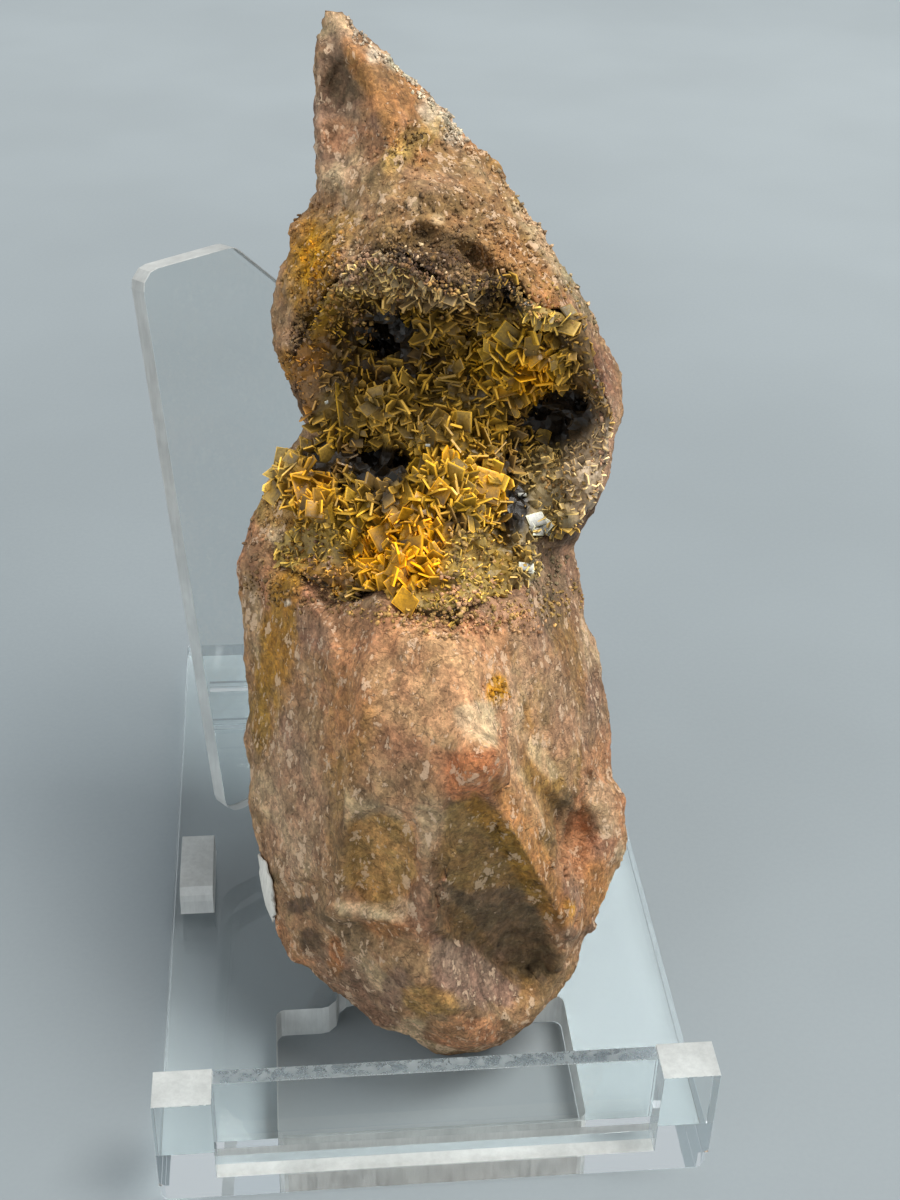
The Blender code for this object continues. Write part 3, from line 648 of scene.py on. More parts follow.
# Crumbs along the bright edges: number, spread in pixels, tone, then the line
CRUMB_LINES = (
    # The white and cream crumbs down the right edges are partly painted highlight
    (150, 3, "white", (345, 22), (372, 50), (400, 72), (425, 98), (448, 122), (466, 142)),
    (170, 5, "cream", (462, 140), (500, 180), (522, 208), (545, 235), (568, 262), (588, 300)),
    (70, 5, "white", (440, 105), (452, 128), (462, 142)),
    (60, 5, "sage", (560, 250), (585, 290), (600, 325)),
    (200, 8, "dun", (245, 575), (270, 590), (300, 598), (345, 600)),
    (420, 8, "straw", (345, 600), (400, 616), (470, 618), (540, 610), (590, 585)),
    (160, 7, "peach", (400, 626), (470, 630), (540, 620)),
    (160, 4, "dun", (318, 282), (303, 310), (296, 345)),
    # Dark crumbs in the painted shade under the hollow's upper rim
    (260, 5, "bark", (392, 248), (412, 260), (440, 280), (470, 284), (505, 292)),
    (160, 6, "straw", (330, 262), (372, 276), (430, 286), (480, 290), (530, 300)),
)
CRUMB_LIMIT_COLUMN = 606
CRUMB_OUTLINES = (
    ((0, -1), (0.86, 0), (0, 1), (-0.86, 0)),
    ((-0.8, -0.85), (0.85, -0.8), (0.8, 0.85), (-0.85, 0.8)),
    ((-0.95, -0.3), (0.3, -0.95), (0.95, 0.5), (-0.3, 0.9)),
    ((-0.45, -1), (0.5, -1), (0.55, 0.55), (0, 1), (-0.5, 0.6)),
)

# Outlines of the plates as width and height shares round the middle
PLATE_OUTLINES = (
    ((0, -1), (0.86, 0), (0, 1), (-0.86, 0)),
    ((0.12, -1), (0.95, -0.1), (0.1, 1), (-0.9, 0.15)),
    ((-0.8, -0.85), (0.85, -0.8), (0.8, 0.85), (-0.85, 0.8)),
    ((-0.95, -0.6), (0.55, -0.75), (0.95, 0.6), (-0.55, 0.75)),
    ((-0.75, -0.95), (0.7, -0.8), (0.95, 0.75), (-0.6, 0.9)),
    ((-0.45, -1), (0.5, -1), (0.55, 0.55), (0, 1), (-0.5, 0.6)),
    ((-0.9, -0.5), (0.1, -1), (0.95, 0.1), (0, 0.95)),
    ((-0.35, -1), (0.35, -1), (0.4, 0.8), (0.1, 1), (-0.4, 0.75)),
)
PLATE_RIM = 0.16
PLATE_CROWN = 0.22
# Plates and crumbs are painted dark at the root and light at the tip: painted shade near the bed, painted
# light at the tip
ROOT_PAINTED_SHADE = 0.2
TIP_PAINTED_LIGHT = 1.15


def plate_template(number, outline, has_rim):
    """One plate of unit size: an outline pulled thick, its broad faces bevelled in."""
    bm = bmesh.new()
    verts = [bm.verts.new((x, y, -0.5)) for x, y in outline]
    bm.faces.new(verts)
    pulled = bmesh.ops.extrude_face_region(bm, geom=bm.faces[:])
    top = [item for item in pulled["geom"] if isinstance(item, bmesh.types.BMVert)]
    bmesh.ops.translate(bm, verts=top, vec=(0, 0, 1))
    bmesh.ops.recalc_face_normals(bm, faces=bm.faces)
    rim = bm.verts.layers.float.new("rim")
    for vert in bm.verts:
        vert[rim] = 1
    broad = [face for face in bm.faces if abs(face.normal.z) > 0.9]
    for face in broad if has_rim else ():
        side = 1 if face.normal.z > 0 else -1
        bmesh.ops.inset_individual(bm, faces=[face], thickness=PLATE_RIM)
        for vert in face.verts:
            vert[rim] = 0
            vert.co.z += PLATE_CROWN * side
    paint = bm.verts.layers.float_color.new("paint")
    for vert in bm.verts:
        vert[paint] = (1, 1, 1, 1)
    mesh = bpy.data.meshes.new(f"plate_{number}")
    bm.to_mesh(mesh)
    bm.free()
    return mesh


class CrystalHeap:
    """Gathers tinted plates into one bmesh, each painted darker at its root as painted shade and lighter at
    its tip as painted light.
    """

    def __init__(self, outlines, has_rim=True):
        self.bm = bmesh.new()
        self.templates = [plate_template(n, outline, has_rim) for n, outline in enumerate(outlines)]
        self.painted_shades = [
            [ROOT_PAINTED_SHADE + (TIP_PAINTED_LIGHT - ROOT_PAINTED_SHADE) * smooth(-1, 0.7, vert.co.y) for vert in mesh.vertices]
            for mesh in self.templates]

    def add(self, kind, middle, face_way, tall_way, width, height, thickness, tint):
        """Stand one plate with its broad face and its tall side turned as given."""
        face_way = face_way.normalized()
        across = tall_way.cross(face_way)
        if across.length < 1e-6:
            across = face_way.orthogonal()
        across.normalize()
        tall = face_way.cross(across)
        turn = Matrix((across * width / 2, tall * height / 2, face_way * thickness)).transposed().to_4x4()
        turn.translation = middle
        plate = self.templates[kind].copy()
        plate.transform(turn)
        # The tint times the painted shade and light from root to tip
        painted_shades = [value for share in self.painted_shades[kind] for value in (*(part * share for part in tint), 1)]
        plate.attributes["paint"].data.foreach_set("color", painted_shades)
        self.bm.from_mesh(plate)
        bpy.data.meshes.remove(plate)

    def join_to(self, bm):
        """Add the whole heap to a bmesh and remove the templates."""
        together = bpy.data.meshes.new("heap")
        self.bm.to_mesh(together)
        self.bm.free()
        bm.from_mesh(together)
        for mesh in (together, *self.templates):
            bpy.data.meshes.remove(mesh)


# Node trees

def start_material(name):
    """A new material with its tree and shader."""
    material = bpy.data.materials.new(name)
    material.use_nodes = True
    return material, material.node_tree, material.node_tree.nodes["Principled BSDF"]


def feed(tree, socket, value):
    """Link a socket to another one, or set its own value."""
    if isinstance(value, NodeSocket):
        tree.links.new(value, socket)
    else:
        socket.default_value = value


def add(tree, kind, inputs=(), **settings):
    """Add a node, set its fields, and link or set its inputs."""
    node = tree.nodes.new(kind)
    for field, value in settings.items():
        setattr(node, field, value)
    for socket, value in dict(inputs).items():
        feed(tree, node.inputs[socket], value)
    return node


def coat(tree, shader, tone, rough, normal):
    """Give a shader its colour, roughness and normal."""
    for label, value in (("Base Color", tone), ("Roughness", rough), ("Normal", normal)):
        feed(tree, shader.inputs[label], value)


def mix_colour(tree, share, first, second, kind="MIX"):
    """Mix two colours by a share."""
    node = add(tree, "ShaderNodeMix", data_type="RGBA", blend_type=kind, clamp_factor=True)
    feed(tree, node.inputs[0], share)
    for socket, value in ((node.inputs[6], first), (node.inputs[7], second)):
        feed(tree, socket, value if isinstance(value, NodeSocket) else (*value, 1))
    return node.outputs[2]


def shaded(tree, tone, shade):
    """Darken or brighten a colour by a shade."""
    return mix_colour(tree, 1.0, tone, shade, "MULTIPLY")


def math_node(tree, operation, first, second, clamp=False):
    """One arithmetic step."""
    return add(tree, "ShaderNodeMath", {0: first, 1: second}, operation=operation, use_clamp=clamp).outputs[0]


def plus(tree, first, second):
    """Add two values."""
    return math_node(tree, "ADD", first, second)


def times(tree, first, second):
    """Multiply two values."""
    return math_node(tree, "MULTIPLY", first, second)


def vector_node(tree, operation, inputs):
    """One step of vector arithmetic."""
    return add(tree, "ShaderNodeVectorMath", inputs, operation=operation).outputs[0]


def ramp(tree, value, low, high, bottom=0.0, top=1.0):
    """Spread a value between low and high over bottom to top, and stop there."""
    inputs = {"Value": value, "From Min": low, "From Max": high, "To Min": bottom, "To Max": top}
    return add(tree, "ShaderNodeMapRange", inputs, interpolation_type="SMOOTHSTEP").outputs["Result"]


def noise_node(tree, where, scale, detail=3.0, roughness=0.55, distortion=0.0, output="Fac"):
    """A noise texture's value."""
    inputs = {
        "Vector": where, "Scale": scale, "Detail": detail, "Roughness": roughness, "Distortion": distortion}
    return add(tree, "ShaderNodeTexNoise", inputs).outputs[output]


def cell_node(tree, where, scale, feature="F1"):
    """The outputs of a texture of random cells."""
    return add(tree, "ShaderNodeTexVoronoi", {"Vector": where, "Scale": scale}, feature=feature).outputs


def part_of(tree, tone, part):
    """One part of a random colour."""
    return add(tree, "ShaderNodeSeparateColor", {"Color": tone}).outputs[part]


def stored(tree, name, output="Fac"):
    """A value that the mesh keeps."""
    return add(tree, "ShaderNodeAttribute", attribute_name=name).outputs[output]


def object_place(tree, stretch=(1, 1, 1), turn=(0, 0, 0)):
    """Object coordinates, stretched and turned."""
    place = add(tree, "ShaderNodeTexCoord").outputs["Object"]
    inputs = {"Vector": place, "Scale": stretch, "Rotation": turn}
    return add(tree, "ShaderNodeMapping", inputs).outputs["Vector"]


def bump(tree, height, strength, distance):
    """A normal from a height."""
    inputs = {"Strength": strength, "Distance": distance, "Height": height}
    return add(tree, "ShaderNodeBump", inputs).outputs["Normal"]


def new_group(name, inputs, outputs):
    """A shader node group with named number sockets."""
    group = bpy.data.node_groups.new(name, "ShaderNodeTree")
    for label, default in inputs.items():
        socket = group.interface.new_socket(name=label, in_out="INPUT", socket_type="NodeSocketFloat")
        socket.default_value = default
    for label in outputs:
        group.interface.new_socket(name=label, in_out="OUTPUT", socket_type="NodeSocketFloat")
    return group, group.nodes.new("NodeGroupInput").outputs, group.nodes.new("NodeGroupOutput").inputs


def mineral_grain_group():
    """Grain of a broken mineral surface: mottling, grains, dark seams and relief."""
    name = "Mineral grain"
    if name in bpy.data.node_groups:
        return bpy.data.node_groups[name]
    group, entry, out = new_group(
        name, {"Grain Size": 1.0, "Seams": 1.0}, ("Shade", "Grains", "Seam Mask", "Relief"))
    place = add(group, "ShaderNodeTexCoord").outputs["Object"]
    in_millimetres = vector_node(group, "MULTIPLY", {0: place, 1: (1000, 1000, 1000)})
    where = vector_node(group, "DIVIDE", {0: in_millimetres, 1: entry["Grain Size"]})
    broad = noise_node(group, where, 0.32, 5, 0.62, 0.4)
    fine = noise_node(group, where, 1.7, 4, 0.7, 0.2)
    grains = part_of(group, cell_node(group, where, 1.3)["Color"], "Red")
    wander = noise_node(group, where, 0.6, 3, 0.5, output="Color")
    bent = vector_node(group, "ADD", {0: where, 1: wander})
    edges = cell_node(group, bent, 0.42, "DISTANCE_TO_EDGE")["Distance"]
    seam = ramp(group, edges, 0.0, 0.07, 1.0, 0.0)
    seam = times(group, seam, ramp(group, noise_node(group, where, 0.5, 2), 0.46, 0.6))
    seam = math_node(group, "MULTIPLY", seam, entry["Seams"], True)
    shade = plus(group, times(group, broad, 0.55), times(group, fine, 0.45))
    relief = plus(group, times(group, fine, 0.6), times(group, grains, 0.25))
    relief = math_node(group, "SUBTRACT", relief, times(group, seam, 0.5))
    for label, value in (("Shade", shade), ("Grains", grains), ("Seam Mask", seam), ("Relief", relief)):
        feed(group, out[label], value)
    return group


def mineral_grain(tree, size, seams):
    """Put the grain group in a tree and give its inputs their values."""
    node = tree.nodes.new("ShaderNodeGroup")
    node.node_tree = mineral_grain_group()
    node.inputs["Grain Size"].default_value = size
    node.inputs["Seams"].default_value = seams
    return node.outputs


def spots(tree, where, scale, wander, fewness, spread=None):
    """Ragged spots of many sizes: a mask, with fewness from 0 to 1."""
    shift = noise_node(tree, where, scale * 2.2, 3, 0.5, output="Color")
    shift = vector_node(tree, "SUBTRACT", {0: shift, 1: (0.5, 0.5, 0.5)})
    shift = vector_node(tree, "SCALE", {0: shift, 3: wander / scale})
    cells = cell_node(tree, vector_node(tree, "ADD", {0: where, 1: shift}), scale)
    radius = math_node(tree, "SUBTRACT", times(tree, part_of(tree, cells["Color"], "Green"), 0.9), fewness)
    if spread is not None:
        radius = plus(tree, radius, times(tree, spread, 0.25))
    return ramp(tree, math_node(tree, "SUBTRACT", radius, cells["Distance"]), 0.0, 0.07)


# The rock's patterns, counted per metre
STREAK_SCALE = 700
HUE_SCALE = 300
FLECK_SCALE = 1700
CRUST_SCALE = 700
PIT_SCALE = 1500
PINKER = (1.05, 0.97, 0.95)
GREENER = (0.97, 1.01, 0.97)
FLECK_GLOW = (1.7, 1.6, 1.5)
# Painted highlight on the plates' rims
RIM_PAINTED_HIGHLIGHT = (2.2, 2.1, 1.5)


def rock_material(settings):
    """Painted tones of the rock under mottling, cream flecks, dark pits and seams."""
    material, tree, shader = start_material("tan_rock")
    paint = stored(tree, "paint", "Color")
    flecks = stored(tree, "flecks")
    grain = mineral_grain(tree, 0.5, 0.5)
    tone = shaded(tree, paint, ramp(tree, grain["Shade"], 0.3, 0.7, 0.62, 1.38))
    tone = shaded(tree, tone, ramp(tree, grain["Grains"], 0.0, 1.0, 0.78, 1.22))
    steep = object_place(tree, (1, 1, 0.4), (math.radians(12), math.radians(-6), 0))
    streaks = noise_node(tree, steep, STREAK_SCALE, 6, 0.7, 0.3)
    tone = shaded(tree, tone, ramp(tree, streaks, 0.32, 0.68, 0.68, 1.32))
    hue = ramp(tree, noise_node(tree, object_place(tree), HUE_SCALE, 4, 0.65, 0.4), 0.38, 0.62)
    tone = shaded(tree, tone, mix_colour(tree, hue, PINKER, GREENER))
    small_flecks = spots(tree, steep, FLECK_SCALE, 1.2, 0.58, flecks)
    crusts = spots(tree, object_place(tree, (1, 1, 0.7), (0.2, -0.1, 0)), CRUST_SCALE, 1.7, 0.52, flecks)
    fleck_mask = times(tree, math_node(tree, "MAXIMUM", small_flecks, crusts), 0.9)
    fleck_tone = mix_colour(tree, 0.7, shaded(tree, paint, FLECK_GLOW), settings.fleck)
    tone = mix_colour(tree, fleck_mask, tone, fleck_tone)
    pits = times(tree, spots(tree, object_place(tree), PIT_SCALE, 1.4, 0.6), 0.55)
    dark_mask = math_node(tree, "MAXIMUM", pits, times(tree, grain["Seam Mask"], 0.6))
    tone = mix_colour(tree, dark_mask, tone, settings.pit)
    height = plus(tree, grain["Relief"], times(tree, streaks, 0.7))
    height = plus(tree, height, times(tree, crusts, 0.4))
    rough = ramp(tree, streaks, 0.35, 0.65, 0.85, 0.55)
    coat(tree, shader, tone, rough, bump(tree, height, 0.9, 0.42 * MM))
    shader.inputs["Specular IOR Level"].default_value = 0.4
    return material


def crystal_material(settings):
    """Thin plates: brighter along their rims as a painted highlight, stained and dusty on their faces."""
    material, tree, shader = start_material("yellow_barite")
    paint = stored(tree, "paint", "Color")
    grain = mineral_grain(tree, 0.55, 0.5)
    tone = shaded(tree, paint, ramp(tree, grain["Shade"], 0.3, 0.7, 0.42, 1.3))
    # Painted highlight: the plates' rims are brightened where their edges catch the light
    edge = ramp(tree, stored(tree, "rim"), 0.35, 1.0, 0.0, 0.85)
    tone = mix_colour(tree, edge, tone, shaded(tree, paint, RIM_PAINTED_HIGHLIGHT))
    tone = mix_colour(tree, times(tree, grain["Seam Mask"], 0.6), tone, settings.stain)
    rough = ramp(tree, grain["Shade"], 0.35, 0.65, 0.28, 0.6)
    coat(tree, shader, tone, rough, bump(tree, grain["Relief"], 0.35, 0.12 * MM))
    return material


# The rock

class RockSettings(PropertyGroup):
    """Tones and roughness of the rock."""

    cell: length("Mesh cell", "Size of the rock's mesh cells", 0.445)
    lump: length("Lumps", "How far the broad lumps rise", 0.14)
    ripple: length("Ripples", "How far the steep ripples rise", 0.13)
    grit: length("Grit", "How far the small grit rises", 0.12)
    scoop: length("Scoops", "How deep the broken faces are scooped", 1.5)
    crumble: FloatProperty(name="Crumbly top", description="How much rougher the top is", default=0.8, min=0)
    umber: colour("Umber", "The rock's common tone", 164, 128, 92)
    salmon: colour("Salmon", "Pink-orange faces", 194, 136, 94)
    rose: colour("Rose", "Greyish pink faces", 180, 144, 116)
    peach: colour("Peach", "Pale warm faces", 214, 166, 120)
    cream: colour("Cream", "Cream crusts", 222, 192, 152)
    # White granular crust, also painted as highlight along the lit edges
    white: colour("White", "White granular edge", 228, 216, 190)
    straw: colour("Straw", "Yellow-tan crusts", 196, 158, 88)
    tan: colour("Tan", "Orange-tan ridges", 182, 128, 74)
    rust: colour("Rust", "Orange-brown stains", 172, 110, 58)
    dun: colour("Dun", "Dull brown top", 138, 106, 62)
    red: colour("Red", "Red-orange peak", 206, 130, 82)
    brick: colour("Brick", "Dark brown-pink wall", 132, 92, 70)
    ochre: colour("Ochre", "Ochre streaks", 174, 124, 36)
    mustard: colour("Mustard", "Dull yellow bands", 158, 116, 44)
    yellow: colour("Yellow", "Strong yellow spots", 212, 150, 18)
    olive_light: colour("Light olive", "Yellow-olive faces", 184, 142, 84)
    moss: colour("Moss", "Olive-brown faces", 146, 114, 66)
    sage: colour("Sage", "Grey-green edges", 124, 116, 88)
    olive: colour("Olive", "Dark olive blotches", 98, 78, 44)
    mauve: colour("Mauve", "Mauve-grey faces", 150, 122, 104)
    plum: colour("Plum", "Dark mauve faces", 138, 106, 88)
    charcoal: colour("Charcoal", "Dark grey-brown hollows", 106, 86, 62)
    # Dark brown, mostly laid as painted shade under overhangs and on the underside
    bark: colour("Bark", "Darkest browns", 62, 46, 34)
    fleck: colour("Flecks", "Small cream flecks", 226, 196, 164)
    pit: colour("Pits", "Small dark pits and seams", 58, 42, 32)


CREASE_WANDER = 5
FACET_REACH = 1.4 * MM

# Sizes and heights in millimetres, noise as waves in each of them
DRIFT_WAVES = 0.045
LUMP_WAVES = 0.22
RIPPLE_WAVES = 0.75
SCOOP_WAVES = 0.11
SCOOP_SHIFTS = (Vector((9.3, 4.1, 2.7)), Vector((1.8, 7.2, 5.5)), Vector((6.4, 3.9, 8.6)))
CRUMBLY_FROM = 62
CRUMBLY_TO = 80
SPIRE_FROM = 92
SPIRE_TO = 102

# What the hidden sides show: tone, share, waves, shift, where it starts and where it is full
NATURAL_TONES = (
    ("salmon", 0.8, 1, (0, 0, 0), 0, 0.4),
    ("plum", 0.6, 1.4, (7, 3, 1), 0.05, 0.4),
    ("mustard", 0.7, 1.1, (2, 9, 4), 0.2, 0.45),
    ("cream", 0.5, 2.3, (5, 5, 8), 0.22, 0.45),
    ("charcoal", 0.6, 1.7, (1, 6, 2), 0.2, 0.5),
)


def natural_tone(spot, palette):
    """The rock's own tone where nothing is painted, spot in millimetres."""
    tone = palette["umber"]
    drift = spot * DRIFT_WAVES
    for name, share, waves, shift, low, high in NATURAL_TONES:
        level = noise.noise(drift * waves + Vector(shift))
        tone = blend(tone, palette[name], share * smooth(low, high, level))
    return tone


def raise_creases(bm):
    """Raise the ridges and sink the grooves that the photograph shows."""
    bm.normal_update()
    creases = [Crease(*row) for row in ROCK_CREASES]
    for vert in bm.verts:
        seen = smooth(0.05, 0.35, facing_eye(vert))
        if seen > 0:
            column, row, _ = pixel_of(vert.co)
            bend = noise.noise(vert.co / MM * 0.3) * CREASE_WANDER
            rise = seen * sum(crease.lift(column + bend, row - bend) for crease in creases)
            vert.co += vert.normal * rise


def flatten_facets(bm, facets):
    """Bring the points of each broken face close to one plane."""
    bm.normal_update()
    seen = []
    for vert in bm.verts:
        if facing_eye(vert) > 0.05:
            column, row, _ = pixel_of(vert.co)
            seen.append((vert, column, row))
    for facet in facets:
        covered = [(vert, facet.cover(column, row)) for vert, column, row in seen]
        covered = [(vert, share) for vert, share in covered if share > 0]
        if not covered:
            continue
        total = sum(share for _, share in covered)
        middle = sum((vert.co * share for vert, share in covered), Vector()) / total
        way = sum((vert.normal * share for vert, share in covered), Vector()).normalized()
        for vert, share in covered:
            off = (middle - vert.co).dot(way)
            off = max(-FACET_REACH, min(FACET_REACH, off))
            vert.co += way * off * share * facet.flatness


def roughen_rock(bm, settings):
    """Push the rock's points in and out in lumps, steep ripples, scoops and grit."""
    bm.normal_update()
    for vert in bm.verts:
        spot = vert.co / MM
        steep = Vector((spot.x, spot.y, spot.z * 0.4))
        crumbly = 1 + settings.crumble * smooth(CRUMBLY_FROM, CRUMBLY_TO, spot.z)
        lump = noise.fractal(spot * LUMP_WAVES, 0.9, 2.1, 3) * settings.lump
        ripple = noise.fractal(steep * RIPPLE_WAVES, 0.8, 2.2, 3) * settings.ripple
        hidden = 1 - smooth(-0.1, 0.3, facing_eye(vert))
        wander = Vector([noise.noise(spot * 0.12 + shift) for shift in SCOOP_SHIFTS])
        bent = spot * SCOOP_WAVES + wander * 0.3
        near, next_near = noise.voronoi(bent)[0][:2]
        scoop = (0.3 - min(next_near - near, 0.6)) * settings.scoop * (0.2 + 0.8 * hidden)
        scoop *= 1 - smooth(SPIRE_FROM, SPIRE_TO, spot.z)
        grit = noise.noise(spot * 2.1) * settings.grit + noise.noise(spot * 1.1) * settings.grit
        vert.co += vert.normal * ((lump + ripple + grit) * crumbly + scoop)
        vert.co.z = max(vert.co.z, 0)


def paint_rock(bm, palette, facets):
    """Give each point its painted tone, and how many cream flecks it carries."""
    patches = placed_patches(ROCK_PATCHES, BVHTree.FromBMesh(bm))
    paint = bm.verts.layers.float_color.new("paint")
    flecks = bm.verts.layers.float.new("flecks")
    for vert in bm.verts:
        spot = vert.co / MM
        ragged = 0.3 * noise.noise(spot * 0.4) + 0.25 * noise.noise(spot * 1.1)
        tone = natural_tone(spot, palette)
        tone = painted(tone, vert.co, facing_eye(vert), patches, palette, ragged, facets)
        vert[paint] = (*tone, 1)
        dark = smooth(0.32, 0.16, tone[0])
        vert[flecks] = 0.55 + 0.9 * noise.noise(spot * 0.12 + Vector((3, 8, 5))) - 1.1 * dark


class BARITE_OT_make_rock(Operator):
    """Dress the host rock: rough faces, painted tones, flecks and seams"""

    bl_idname = "barite.make_rock"
    bl_label = "Make the rock"

    def execute(self, context):
        settings = context.scene.barite_rock
        rock = even_piece("tan_host_rock", "host_rock", settings.cell)
        bm = bmesh_of(rock)
        facets = [Facet(*row) for row in ROCK_FACETS]
        raise_creases(bm)
        flatten_facets(bm, [facet for facet in facets if facet.flatness])
        roughen_rock(bm, settings)
        bmesh.ops.triangulate(bm, faces=bm.faces)
        bm.normal_update()
        paint_rock(bm, palette_of(settings), [facet for facet in facets if facet.tone])
        fill(rock.data, bm, True)
        rock.data.materials.append(rock_material(settings))
        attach(rock, "root")
        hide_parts("host_rock")
        return {"FINISHED"}


# The grains

CRUMB_SPREAD = 0.6
CRUMB_TONE_SHARE = 0.75


class GrainSettings(PropertyGroup):
    """Size and number of the fine crumbs."""

    size: length("Crumbs", "Width of a common crumb", 0.44)
    share: FloatProperty(
        name="Number", description="Share of the common number of crumbs", default=1.2, min=0)
    seed: IntProperty(name="Seed", description="Which random crumbs are laid", default=9)


def crumb_places(settings, chance):
    """Where each crumb is seen, and its tone: in patches first, then along the lines."""
    for column, row, half_width, half_height, count, tone in CRUMB_PATCHES:
        for _ in range(int(count * settings.share)):
            x = column + chance.gauss(0, CRUMB_SPREAD) * half_width
            y = row + chance.gauss(0, CRUMB_SPREAD) * half_height
            yield x, y, tone
    for count, spread, tone, *corners in CRUMB_LINES:
        for _ in range(count):
            leg = chance.randrange(len(corners) - 1)
            share = chance.random()
            (x, y), (far_x, far_y) = corners[leg], corners[leg + 1]
            x += (far_x - x) * share + chance.gauss(0, spread)
            y += (far_y - y) * share + chance.gauss(0, spread)
            yield x, y, tone


def lay_crumbs(heap, trees, patches, palette, settings):
    """Roughen the rock with crumbs in patches and along its bright edges."""
    chance = random.Random(settings.seed)
    for column, row, tone in crumb_places(settings, chance):
        found = seen_spot(trees, column, row)
        if found is None or column > CRUMB_LIMIT_COLUMN and tone is None:
            continue
        hit, normal = found
        tint = painted(palette["umber"], hit, 1, patches, palette, 0)
        if tone is not None:
            tint = blend(tint, palette[tone], CRUMB_TONE_SHARE)
        shade = chance.uniform(0.65, 1.45)
        tint = tuple(min(1, value * shade) for value in tint)
        around = any_way(chance)
        size = settings.size * (0.35 + 1.1 * chance.random() ** 2)
        heap.add(
            chance.randrange(len(CRUMB_OUTLINES)), hit + normal * size * 0.1, around, normal + around * 0.2,
            size, size * chance.uniform(0.8, 1.7), size * chance.uniform(0.2, 0.6), tint)


class BARITE_OT_make_grains(Operator):
    """Scatter fine crumbs on the rock's crumbly top and along its bright edges"""

    bl_idname = "barite.make_grains"
    bl_label = "Make the grains"

    def execute(self, context):
        tree = tree_of(bpy.data.objects["tan_host_rock"])
        trees = (tree, tree_of(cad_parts["barite_crystals"]))
        patches = placed_patches(ROCK_PATCHES, tree)
        heap = CrystalHeap(CRUMB_OUTLINES, has_rim=False)
        lay_crumbs(heap, trees, patches, palette_of(context.scene.barite_rock), context.scene.barite_grains)
        bm = bmesh.new()
        heap.join_to(bm)
        grains = new_piece("granular_crust", bm, smooth_shading=True)
        grains.data.materials.append(bpy.data.materials["tan_rock"])
        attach(grains, "root")
        return {"FINISHED"}


# The crystals

class CrystalSettings(PropertyGroup):
    """Number, size and tones of the barite crystals."""

    count: IntProperty(
        name="Plates", description="How many small plates line the hollow", default=4100, min=1)
    seed: IntProperty(name="Seed", description="Changes how the plates fall", default=4)
    cell: length("Bed cell", "Size of the bed's mesh cells", 0.62)
    width: length("Plate width", "Common width of a plate", 1.75)
    thickness: length("Plate thickness", "Common thickness of a plate", 0.14)
    khaki: colour("Khaki", "Olive plates", 166, 132, 56)
    mustard: colour("Mustard", "Dull yellow plates", 192, 150, 42)
    amber: colour("Amber", "Bright yellow-orange plates", 214, 154, 10)
    straw: colour("Straw", "Pale yellow plates", 200, 166, 84)
    rust: colour("Rust", "Rust-brown crusts", 172, 118, 50)
    glow: colour("Pink cream", "Pinkish cream crusts", 204, 178, 146)
    umber: colour("Umber", "Brown plates", 122, 92, 46)
    sage: colour("Sage", "Grey-olive plates", 190, 166, 116)
    steel: colour("Steel", "Silvery grey plates", 118, 112, 98)
    # Painted shade: the near-black tone of the deep holes, where no light reaches
    hole: colour("Holes", "Plates in the deep holes", 14, 11, 8)
    # Painted highlight: plates painted near white where their faces flash
    glint_highlight: colour("Glints", "Clean, shining plates", 236, 236, 226)
    # The crust's own dark brown, kept dark as painted shade in the gaps between the plates
    bed: colour("Bed", "The crust under the plates", 66, 50, 28)
    stain: colour("Stain", "Brown stain in the plates' seams", 66, 44, 18)


